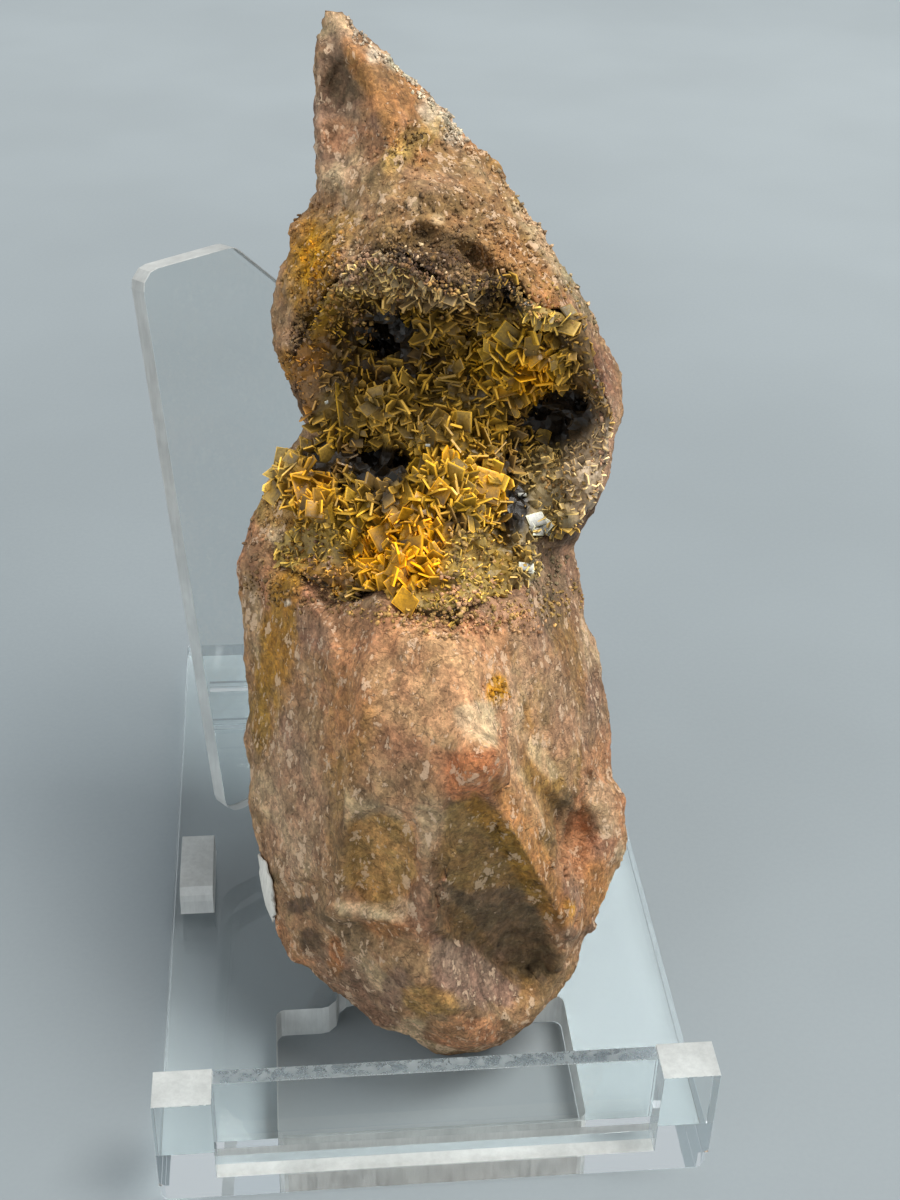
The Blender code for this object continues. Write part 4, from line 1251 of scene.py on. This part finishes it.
# Single plates seen in the photograph: column, row, width and height in millimetres, outline,
# turn in the picture, how far it faces away sideways and upwards, tone
SEEN_PLATES = (
    (339, 403, 1.5, 5.4, 7, 6, 40, 5, "mustard"),
    (409, 316, 1.3, 2.7, 7, -18, 30, 10, "mustard"),
    (423, 338, 3.0, 3.8, 2, -25, 35, 0, "mustard"),
    (415, 352, 2.6, 2.8, 1, 30, -30, 20, "umber"),
    (482, 358, 2.2, 1.9, 2, 15, 20, 20, "amber"),
    (534, 370, 3.0, 3.2, 3, -20, 25, 10, "amber"),
    (525, 328, 3.6, 2.2, 3, 10, 0, 50, "khaki"),
    (507, 390, 2.6, 2.0, 2, 12, -10, 20, "amber"),
    (546, 386, 3.0, 2.0, 3, -15, 30, 15, "amber"),
    (498, 372, 2.2, 2.4, 0, 40, 20, 10, "amber"),
    (515, 352, 2.4, 2.0, 1, 60, -25, 20, "mustard"),
    (556, 362, 2.2, 2.6, 0, -30, 20, 0, "mustard"),
    (440, 388, 3.6, 2.6, 2, 8, 0, 68, "khaki"),
    (452, 380, 3.2, 2.4, 3, -6, 15, 66, "mustard"),
    (430, 396, 3.0, 2.2, 2, 20, -10, 70, "khaki"),
    (543, 436, 2.4, 2.6, 0, 20, 10, 10, "khaki"),
    (288, 458, 3.4, 2.6, 2, -12, 10, 25, "straw"),
    (305, 486, 3.2, 3.8, 2, 12, 30, 10, "amber"),
    (315, 510, 2.4, 2.2, 2, -10, 20, 10, "amber"),
    (330, 492, 2.2, 2.4, 3, 35, -20, 15, "mustard"),
    (296, 505, 2.0, 2.4, 1, 0, 40, 0, "mustard"),
    (420, 470, 2.0, 4.2, 0, -35, 35, 0, "amber"),
    (432, 462, 1.8, 4.6, 7, 8, -40, 0, "amber"),
    (446, 466, 2.2, 4.4, 5, -4, 35, 0, "amber"),
    (458, 470, 2.0, 4.2, 7, 20, -45, 5, "amber"),
    (468, 480, 2.4, 3.8, 0, 35, 30, 10, "amber"),
    (410, 486, 2.4, 3.4, 0, -50, 30, 5, "mustard"),
    (440, 492, 3.0, 3.2, 1, 15, -25, 10, "amber"),
    (425, 505, 3.2, 2.6, 2, -25, 20, 20, "amber"),
    (456, 500, 2.6, 2.8, 3, 40, 35, 5, "mustard"),
    (487, 486, 3.8, 4.2, 2, -18, 20, 5, "amber"),
    (497, 505, 2.8, 3.2, 3, 25, -20, 10, "amber"),
    (478, 512, 2.6, 2.2, 1, 50, 30, 10, "mustard"),
    (490, 455, 3.4, 3.4, 6, 10, 10, 25, "khaki"),
    (388, 535, 4.2, 3.2, 2, 25, 10, 10, "amber"),
    (415, 545, 4.4, 3.6, 3, -30, -15, 10, "amber"),
    (372, 545, 3.0, 2.6, 1, -15, 30, 15, "amber"),
    (430, 558, 3.4, 2.8, 2, 35, 20, 5, "amber"),
    (400, 565, 3.8, 3.0, 6, 5, 0, 5, "amber"),
    (398, 585, 3.6, 3.2, 0, -10, 15, 0, "amber"),
    (405, 602, 3.0, 3.4, 1, 12, 0, -5, "amber"),
    (384, 580, 2.2, 2.4, 3, 30, 25, 0, "amber"),
    (357, 525, 2.8, 2.2, 3, -20, 0, 30, "mustard"),
    (352, 500, 2.6, 3.0, 0, 30, 35, 0, "mustard"),
    # Painted highlights: near-white plates where crystal faces flash in the light
    (536, 520, 2.3, 1.8, 2, 15, 10, 20, "glint_highlight"),
    (546, 526, 1.7, 2.0, 3, -30, -25, 10, "glint_highlight"),
    (538, 532, 2.0, 1.3, 1, 40, 25, 30, "glint_highlight"),
    (532, 527, 0.9, 1.1, 0, 10, -30, 25, "glint_highlight"),
    (548, 534, 0.8, 0.6, 3, -20, 20, 0, "glint_highlight"),
    (526, 567, 1.9, 1.1, 2, -8, 10, 25, "glint_highlight"),
    (531, 572, 0.8, 0.6, 1, 20, -20, 10, "glint_highlight"),
    (522, 495, 1.1, 0.5, 2, 0, 5, 30, "glint_highlight"),
    (327, 403, 0.5, 0.5, 3, 30, 5, 12, "glint_highlight"),
    (428, 446, 0.6, 0.4, 2, 0, 5, 20, "glint_highlight"),
)


HOLE_DEPTH = 0.5
HOLE_GAPS = 0.88
PLATE_SHADES = (0.45, 1.3)
PLATE_LEANS = ((-30, 30), (-15, 15), (-50, 60))
PLATE_RIM_COLUMN = 592
SEEN_PLATE_LIFT = 0.45 * MM
BED_GAP = 0.08 * MM
OPEN_DEPTH = 1.6 * MM


def growth_at(column, row, depth, patches):
    """How large the plates grow at a seen place."""
    share = 1
    for patch in patches:
        share += (patch.value - share) * min(1, patch.weight(column, row, depth, 0) / PATCH_STRENGTH)
    return share


def roughen_bed(bm):
    """Roughen the crust under the plates and thin its rim out into the rock."""
    bm.normal_update()
    for vert in bm.verts:
        spot = vert.co / MM
        vert.co += vert.normal * (noise.noise(spot * 1.4) * 0.22 + noise.noise(spot * 3.1) * 0.1) * MM
    bm.normal_update()
    sinks = placed_patches(SINK_PATCHES, BVHTree.FromBMesh(bm))
    for vert in bm.verts:
        seen_at = pixel_of(vert.co)
        vert.co -= vert.normal * SINK * max(patch.weight(*seen_at, 0) for patch in sinks)
    bm.normal_update()


def paint_bed(bm, patches, palette):
    """Tint the crust under the plates, dark as painted shade in the gaps between them."""
    rim = bm.verts.layers.float.new("rim")
    paint = bm.verts.layers.float_color.new("paint")
    for vert in bm.verts:
        vert[rim] = 0
        tone = painted(palette["bed"], vert.co, facing_eye(vert), patches, palette, 0)
        vert[paint] = (*blend(palette["bed"], tone, 0.85), 1)


def open_spots(bm, rock_tree):
    """The bed's faces that look into the open, with their areas added up."""
    faces = []
    sums = []
    total = 0
    for face in bm.faces:
        middle = face.calc_center_median()
        start = middle + face.normal * BED_GAP
        if rock_tree.ray_cast(start, face.normal, OPEN_DEPTH)[0] is None:
            total += face.calc_area()
            faces.append((middle, face.normal.copy()))
            sums.append(total)
    return faces, sums


def base_crystal_tone(spot, palette):
    """The plates' tone where nothing is painted, spot in millimetres."""
    tone = blend(palette["khaki"], palette["umber"], smooth(-0.2, 0.3, noise.noise(spot * 0.2)))
    return blend(tone, palette["mustard"], smooth(0, 0.4, noise.noise(spot * 0.3 + Vector((4, 4, 4)))) * 0.7)


def scatter_plates(heap, faces, sums, patches, growth, palette, settings):
    """Line the hollow with small plates that stand criss-cross."""
    chance = random.Random(settings.seed)
    holes = [patch for patch in patches if patch.value == "hole"]
    for _ in range(settings.count):
        picked = bisect.bisect_left(sums, chance.random() * sums[-1], 0, len(sums) - 1)
        middle, normal = faces[picked]
        column, row, depth = pixel_of(middle)
        spot = middle / MM
        facing = normal.dot((EYE - middle).normalized())
        tone = painted(base_crystal_tone(spot, palette), middle, max(facing, 0.2), patches, palette, 0)
        deep = max(patch.weight(column, row, depth, 0) for patch in holes)
        if deep > HOLE_DEPTH and chance.random() < HOLE_GAPS:
            continue
        shade = chance.uniform(*PLATE_SHADES)
        tone = tuple(value * shade for value in tone)
        around = any_way(chance)
        sideways = around.cross(normal).normalized()
        lean = math.radians(chance.choice([chance.uniform(low, high) for low, high in PLATE_LEANS]))
        face_way = sideways * math.cos(lean) + normal * math.sin(lean)
        tall_way = normal + around.normalized() * 0.4
        scale = chance.uniform(0.5, 1.3) * growth_at(column, row, depth, growth) * (0.6 if deep > 0.4 else 1)
        width = settings.width * scale * chance.uniform(0.7, 1.2)
        height = settings.width * scale * chance.uniform(0.8, 1.4)
        thick = settings.thickness * chance.uniform(0.7, 1.5) * (0.5 + 0.5 * scale)
        rise = height * chance.uniform(0.05, 0.3)
        if column > PLATE_RIM_COLUMN:
            rise = -height * 0.1
        kind = chance.randrange(len(PLATE_OUTLINES))
        heap.add(kind, middle + normal * rise, face_way, tall_way, width, height, thick, tone)


def place_seen_plates(heap, trees, palette, settings):
    """Set the single plates that stand out in the photograph."""
    chance = random.Random(settings.seed + 1)
    towards = -FORWARD
    for column, row, width, height, kind, turn, sideways, upwards, tone in SEEN_PLATES:
        found = seen_spot(trees, column, row)
        if found is None:
            raise RuntimeError(f"nothing behind the plate at {column}, {row}")
        turn, sideways, upwards = (math.radians(angle) for angle in (turn, sideways, upwards))
        face_way = towards * math.cos(sideways) + RIGHT * math.sin(sideways)
        face_way = face_way * math.cos(upwards) + UP * math.sin(upwards)
        tall_way = UP * math.cos(turn) - RIGHT * math.sin(turn)
        shade = chance.uniform(0.85, 1.2)
        tint = tuple(value * shade for value in palette[tone])
        middle = found[0] + towards * SEEN_PLATE_LIFT
        thick = settings.thickness * chance.uniform(0.8, 1.3)
        heap.add(kind, middle, face_way, tall_way, width * MM, height * MM, thick, tint)


class BARITE_OT_make_crystals(Operator):
    """Line the hollow with a crust of thin criss-cross barite plates"""

    bl_idname = "barite.make_crystals"
    bl_label = "Make the crystals"

    def execute(self, context):
        settings = context.scene.barite_crystals
        palette = palette_of(settings)
        bed = even_piece("barite_crust", "barite_crystals", settings.cell)
        bm = bmesh_of(bed)
        bmesh.ops.triangulate(bm, faces=bm.faces)
        roughen_bed(bm)
        tree = BVHTree.FromBMesh(bm)
        faces, sums = open_spots(bm, tree_of(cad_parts["host_rock"]))
        patches = placed_patches(CRYSTAL_PATCHES, tree)
        growth = placed_patches(GROWTH_PATCHES, tree)
        paint_bed(bm, patches, palette)
        heap = CrystalHeap(PLATE_OUTLINES)
        scatter_plates(heap, faces, sums, patches, growth, palette, settings)
        place_seen_plates(heap, (tree, tree_of(bpy.data.objects["tan_host_rock"])), palette, settings)
        heap.join_to(bm)
        fill(bed.data, bm, False)
        bed.data.materials.append(crystal_material(settings))
        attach(bed, "root")
        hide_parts("barite_crystals")
        return {"FINISHED"}


# The label

LABEL_FACING = Vector((-0.94, -0.33, 0.04)).normalized()
LABEL_SQUEEZE = 0.7
LABEL_LIFT = 0.28 * MM
LABEL_THINNING = 0.35


class LabelSettings(PropertyGroup):
    """Tones of the paper label."""

    paper: colour("Paper", "The label's paper", 226, 222, 212)
    soil: colour("Soil", "Dirt on the label's edge", 150, 132, 112)


def paper_material(settings):
    """White paper with fibres and a soiled edge."""
    material, tree, shader = start_material("white_paper")
    fibres = noise_node(tree, object_place(tree, (1, 1, 0.25)), 2600, 4, 0.6, 0.8)
    soiled = ramp(tree, noise_node(tree, object_place(tree), 420, 4, 0.6), 0.56, 0.72, 0.0, 0.7)
    tone = mix_colour(tree, soiled, settings.paper, settings.soil)
    tone = shaded(tree, tone, ramp(tree, fibres, 0.3, 0.7, 0.88, 1.04))
    coat(tree, shader, tone, ramp(tree, fibres, 0.3, 0.7, 0.85, 0.7), bump(tree, fibres, 0.3, 0.05 * MM))
    return material


class BARITE_OT_make_label(Operator):
    """Curl the blank paper label on the rock's left side"""

    bl_idname = "barite.make_label"
    bl_label = "Make the label"

    def execute(self, context):
        settings = context.scene.barite_label
        bm = merged_copy("number_label")
        bmesh.ops.subdivide_edges(bm, edges=bm.edges, cuts=2, use_grid_fill=True)
        bmesh.ops.triangulate(bm, faces=bm.faces)
        bm.normal_update()
        tree = tree_of(bpy.data.objects["tan_host_rock"])
        middle = sum((vert.co for vert in bm.verts), Vector()) / len(bm.verts)
        for vert in bm.verts:
            away = vert.co - middle
            lift = away.dot(LABEL_FACING)
            flat = away - LABEL_FACING * lift
            torn = 1 + 0.14 * noise.noise(flat.normalized() * 2.3) + 0.05 * noise.noise(flat / MM * 1.5)
            flat.x *= LABEL_SQUEEZE
            flat.y *= LABEL_SQUEEZE
            hit, normal, _, _ = tree.find_nearest(middle + flat * torn)
            vert.co = hit + normal * (LABEL_LIFT + lift * LABEL_THINNING)
        label = new_piece("blank_label", bm, True)
        label.data.materials.append(paper_material(settings))
        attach(label, "root")
        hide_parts("number_label")
        return {"FINISHED"}


# The stand

PLASTIC_IOR = 1.49
MOST_BOUNCES = 7.5
FLAT_ANGLE = math.radians(1)
SHARP_ANGLE = math.radians(40)
CUT_GAP = 0.01 * MM
LIP_TOP = 14.2 * MM
LIP_FRONT = -39 * MM
LEDGE_TOP = 4.4 * MM
LEDGE_BOTTOM = 3 * MM
LEDGE_REAR = -46.3 * MM
STRIP_REAR = -47.3 * MM
POST_SIDE = 21 * MM
EAR_RIGHT = -24 * MM
EAR_FRONT = -10.5 * MM
EAR_REAR = 2 * MM
WINDOW_SIDE = 17.6 * MM
WINDOW_REAR = -22.2 * MM
PLATE_TURN = math.radians(35.6)
PLATE_OUT = Vector((math.sin(PLATE_TURN), -math.cos(PLATE_TURN), 0))


class StandSettings(PropertyGroup):
    """Finish of the clear plastic."""

    edge: length("Edge round", "How far the plastic's edges are rounded", 0.25)
    tint: colour("Plastic", "Tint of the clear plastic", 244, 247, 247)
    # Milky sawn edges; on the ledge strip and the ears this tone is partly painted highlight
    sawn: colour("Sawn edges", "Milky sawn edges of the plastic", 206, 208, 205)
    shadow: colour("Shadow", "Light that the plastic lets through", 248, 250, 251)


def plastic_material(settings):
    """Clear plastic, scratched and frosted where it was sawn."""
    material, tree, shader = start_material("clear_plastic")
    place = object_place(tree)
    frost = stored(tree, "frost")
    scratches = noise_node(tree, object_place(tree, (1, 0.12, 1), (0, 0, 0.5)), 900, 4, 0.6, 0.2)
    fine = ramp(tree, scratches, 0.62, 0.7, 0.0, 0.25)
    chips = ramp(tree, noise_node(tree, place, 900, 4, 0.7, 0.6), 0.45, 0.62, 0.25, 0.75)
    rough = math_node(tree, "ADD", times(tree, fine, 0.2), times(tree, frost, chips), True)
    wave = times(tree, noise_node(tree, place, 1400, 4, 0.7, 0.4), frost)
    coat(tree, shader, (*settings.tint, 1), rough, bump(tree, wave, 0.35, 0.15 * MM))
    shader.inputs["Transmission Weight"].default_value = 1
    shader.inputs["IOR"].default_value = PLASTIC_IOR
    path = add(tree, "ShaderNodeLightPath").outputs
    bounces = plus(tree, path["Ray Depth"], times(tree, path["Glossy Depth"], 2.0))
    long_path = math_node(tree, "GREATER_THAN", bounces, MOST_BOUNCES)
    passes = math_node(tree, "MAXIMUM", path["Is Shadow Ray"], long_path)
    clear = add(tree, "ShaderNodeBsdfTransparent", {"Color": (*settings.shadow, 1)})
    surface = add(tree, "ShaderNodeMixShader", {0: passes, 1: shader.outputs[0], 2: clear.outputs[0]})
    feed(tree, tree.nodes["Material Output"].inputs["Surface"], surface.outputs[0])
    return material


def sawn_and_highlight_material(settings):
    """Sawn plastic edges: milky, with saw marks; on the ledge strip and the ears the milky tone is also a
    painted highlight.
    """
    material, tree, shader = start_material("sawn_plastic")
    marks = noise_node(tree, object_place(tree, (1, 1, 0.15), (0.3, 0.2, 0)), 1500, 5, 0.7, 0.2)
    cloud = noise_node(tree, object_place(tree), 160, 3, 0.6)
    tone = shaded(tree, settings.sawn, ramp(tree, cloud, 0.3, 0.7, 0.86, 1.1))
    tone = shaded(tree, tone, ramp(tree, marks, 0.3, 0.7, 0.9, 1.08))
    coat(tree, shader, tone, ramp(tree, marks, 0.35, 0.65, 0.3, 0.55), bump(tree, marks, 0.4, 0.1 * MM))
    shader.inputs["Transmission Weight"].default_value = 0.3
    shader.inputs["IOR"].default_value = PLASTIC_IOR
    return material


def rounded_copy(node, name, edge):
    """A stand solid with its flat faces whole and its sharp edges rounded."""
    bm = merged_copy(node)
    bmesh.ops.dissolve_limit(
        bm, angle_limit=FLAT_ANGLE, verts=bm.verts, edges=bm.edges, use_dissolve_boundaries=False,
        delimit=set())
    sharp = [item for item in bm.edges if item.is_manifold and item.calc_face_angle(0) > SHARP_ANGLE]
    bmesh.ops.bevel(
        bm, geom=sharp, offset=edge, offset_type="OFFSET", segments=2, profile=0.5, affect="EDGES",
        material=-1, clamp_overlap=True)
    for place, way in (((0, 0, LEDGE_TOP), (0, 0, 1)), ((0, STRIP_REAR, 0), (0, 1, 0))):
        bmesh.ops.bisect_plane(
            bm, geom=bm.verts[:] + bm.edges[:] + bm.faces[:], dist=CUT_GAP, plane_co=place, plane_no=way)
    bmesh.ops.triangulate(bm, faces=bm.faces)
    bmesh.ops.recalc_face_normals(bm, faces=bm.faces)
    return new_piece(name, bm)


def frost_of(node, face):
    """How frosted a face of the stand is: the top of its lip is."""
    return 1.0 if node == "stand_base" and face.center.z > LIP_TOP and face.center.y < LIP_FRONT else 0.0


def is_sawn_or_highlit(node, face):
    """Whether a face takes the milky finish: a sawn edge, or the ledge strip or an ear where it is also a
    painted highlight.
    """
    if node == "stand_back_plate":
        return abs(face.normal.dot(PLATE_OUT)) < 0.9
    x, y, z = face.center
    # The ears are frosted, and their milky tone is partly painted highlight
    in_ear = x < EAR_RIGHT and EAR_FRONT < y < EAR_REAR and z > LEDGE_TOP
    on_post = frost_of(node, face) and face.normal.z > 0.9 and abs(x) > POST_SIDE
    # The ledge's top strip is painted milky as a painted highlight
    on_ledge = y < STRIP_REAR and LEDGE_BOTTOM < z < LEDGE_TOP and face.normal.z > 0.5
    in_window = abs(x) < WINDOW_SIDE and LEDGE_REAR < y < WINDOW_REAR and z < LEDGE_TOP
    return bool(in_ear or on_post or on_ledge or in_window and abs(face.normal.z) < 0.5)


class BARITE_OT_make_stand(Operator):
    """Finish the clear plastic base and back plate"""

    bl_idname = "barite.make_stand"
    bl_label = "Make the stand"

    def execute(self, context):
        settings = context.scene.barite_stand
        finishes = (plastic_material(settings), sawn_and_highlight_material(settings))
        for node, name in (("stand_base", "clear_base"), ("stand_back_plate", "clear_back_plate")):
            piece = rounded_copy(node, name, settings.edge)
            mesh = piece.data
            layer = mesh.attributes.new("frost", "FLOAT", "FACE")
            layer.data.foreach_set("value", [frost_of(node, face) for face in mesh.polygons])
            for finish in finishes:
                mesh.materials.append(finish)
            mesh.polygons.foreach_set("material_index", [is_sawn_or_highlit(node, face) for face in mesh.polygons])
            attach(piece, "root")
            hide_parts(node)
        return {"FINISHED"}


# The stage

FLOOR_GAP = 0.08 * MM
FLOOR_HALF = 2.5
FIBRE_SCALE = 1500
CLOUD_SCALE = 14
AIM = (0, 0, 0.05)
KEY_PLACE = (0.28, -0.12, 0.62)
KEY_SIZE = 0.3
KEY_TINT = (1, 0.98, 0.94)
FILL_PLACE = (-0.6, -0.35, 0.35)
FILL_SIZE = 0.5
FILL_TINT = (0.95, 0.98, 1)
NEAREST_SEEN = 0.005


class StageSettings(PropertyGroup):
    """Floor, light and camera."""

    floor: colour("Floor", "The floor round the stand", 141, 149, 153)
    # Painted light: the floor's tone further from the stand
    floor_far_lit: colour("Floor far off", "The floor's tone further away", 180, 188, 191)
    sky: colour("Surround", "Light from all round", 222, 228, 232)
    sky_strength: FloatProperty(
        name="Surround strength", description="Strength of the light from all round", default=0.78, min=0)
    key: FloatProperty(
        name="Key light", description="Power of the large light above", default=4.4, min=0, unit="POWER")
    fill: FloatProperty(
        name="Fill light", description="Power of the light on the left", default=1.2, min=0, unit="POWER")


def floor_material(settings):
    """Pale paper-like floor, painted lighter further from the stand as painted light."""
    material, tree, shader = start_material("pale_floor")
    place = object_place(tree)
    away = add(tree, "ShaderNodeVectorMath", {0: place}, operation="LENGTH").outputs["Value"]
    # Painted light: lighter away from the stand
    tone = mix_colour(tree, ramp(tree, away, 0.05, 0.45), settings.floor, settings.floor_far_lit)
    tone = shaded(tree, tone, ramp(tree, noise_node(tree, place, CLOUD_SCALE, 3, 0.5), 0.3, 0.7, 0.96, 1.03))
    fibre = noise_node(tree, place, FIBRE_SCALE, 3, 0.6)
    coat(tree, shader, tone, ramp(tree, fibre, 0.3, 0.7, 0.6, 0.75), bump(tree, fibre, 0.1, 0.05 * MM))
    return material


def add_light(name, place, size, power, tint):
    """A square light aimed at the rock."""
    light = bpy.data.lights.new(name, "AREA")
    light.shape = "SQUARE"
    light.size = size
    light.energy = power
    light.color = tint
    lamp = bpy.data.objects.new(name, light)
    turn = (Vector(AIM) - Vector(place)).to_track_quat("-Z", "Y")
    lamp.matrix_world = Matrix.Translation(place) @ turn.to_matrix().to_4x4()
    bpy.context.scene.collection.objects.link(lamp)


def add_camera():
    """The photograph's viewpoint."""
    data = bpy.data.cameras.new("photo_camera")
    data.sensor_fit = "VERTICAL"
    data.sensor_height = FILM_HEIGHT
    data.lens = FOCAL_PIXELS / PICTURE_HEIGHT * FILM_HEIGHT
    data.clip_start = NEAREST_SEEN
    data.dof.use_dof = False
    camera = bpy.data.objects.new("photo_camera", data)
    turn = Matrix((RIGHT, UP, -FORWARD)).transposed().to_4x4()
    turn.translation = EYE
    camera.matrix_world = turn
    bpy.context.scene.collection.objects.link(camera)
    bpy.context.scene.camera = camera


class BARITE_OT_make_stage(Operator):
    """Lay the floor, set the lights and aim the camera"""

    bl_idname = "barite.make_stage"
    bl_label = "Make the stage"

    def execute(self, context):
        settings = context.scene.barite_stage
        bm = bmesh.new()
        bmesh.ops.create_grid(bm, x_segments=2, y_segments=2, size=FLOOR_HALF)
        bmesh.ops.translate(bm, verts=bm.verts, vec=(0, 0, -FLOOR_GAP))
        floor = new_piece("pale_floor", bm)
        floor.data.materials.append(floor_material(settings))
        context.scene.view_settings.view_transform = "Standard"
        world = bpy.data.worlds.new("soft_surround")
        context.scene.world = world
        world.use_nodes = True
        background = world.node_tree.nodes["Background"]
        background.inputs["Color"].default_value = (*settings.sky, 1)
        background.inputs["Strength"].default_value = settings.sky_strength
        add_light("key_light", KEY_PLACE, KEY_SIZE, settings.key, KEY_TINT)
        add_light("fill_light", FILL_PLACE, FILL_SIZE, settings.fill, FILL_TINT)
        add_camera()
        return {"FINISHED"}


PIECES = (
    ("barite_rock", RockSettings, BARITE_OT_make_rock),
    ("barite_grains", GrainSettings, BARITE_OT_make_grains),
    ("barite_crystals", CrystalSettings, BARITE_OT_make_crystals),
    ("barite_label", LabelSettings, BARITE_OT_make_label),
    ("barite_stand", StandSettings, BARITE_OT_make_stand),
    ("barite_stage", StageSettings, BARITE_OT_make_stage),
)


class BARITE_PT_panel(Panel):
    """Lists the pieces in the sidebar"""

    bl_label = "Barite"
    bl_idname = "BARITE_PT_panel"
    bl_space_type = "VIEW_3D"
    bl_region_type = "UI"
    bl_category = "Barite"

    def draw(self, context):
        for name, group, operator in PIECES:
            box = self.layout.box()
            box.operator(operator.bl_idname)
            for field in group.__annotations__:
                box.prop(getattr(context.scene, name), field)


CLASSES = (*(item for piece in PIECES for item in piece[1:]), BARITE_PT_panel)


def register():
    """Register the classes and hang the settings on the scene."""
    for item in CLASSES:
        bpy.utils.register_class(item)
    for name, group, _ in PIECES:
        setattr(bpy.types.Scene, name, PointerProperty(type=group))


def unregister():
    """Take the settings and the classes away again."""
    for name, _, _ in PIECES:
        delattr(bpy.types.Scene, name)
    for item in reversed(CLASSES):
        bpy.utils.unregister_class(item)


def main():
    """Make every piece in order."""
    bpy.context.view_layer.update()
    register()
    bpy.ops.barite.make_rock()
    bpy.ops.barite.make_grains()
    bpy.ops.barite.make_crystals()
    bpy.ops.barite.make_label()
    bpy.ops.barite.make_stand()
    bpy.ops.barite.make_stage()


if __name__ == "__main__":
    main()
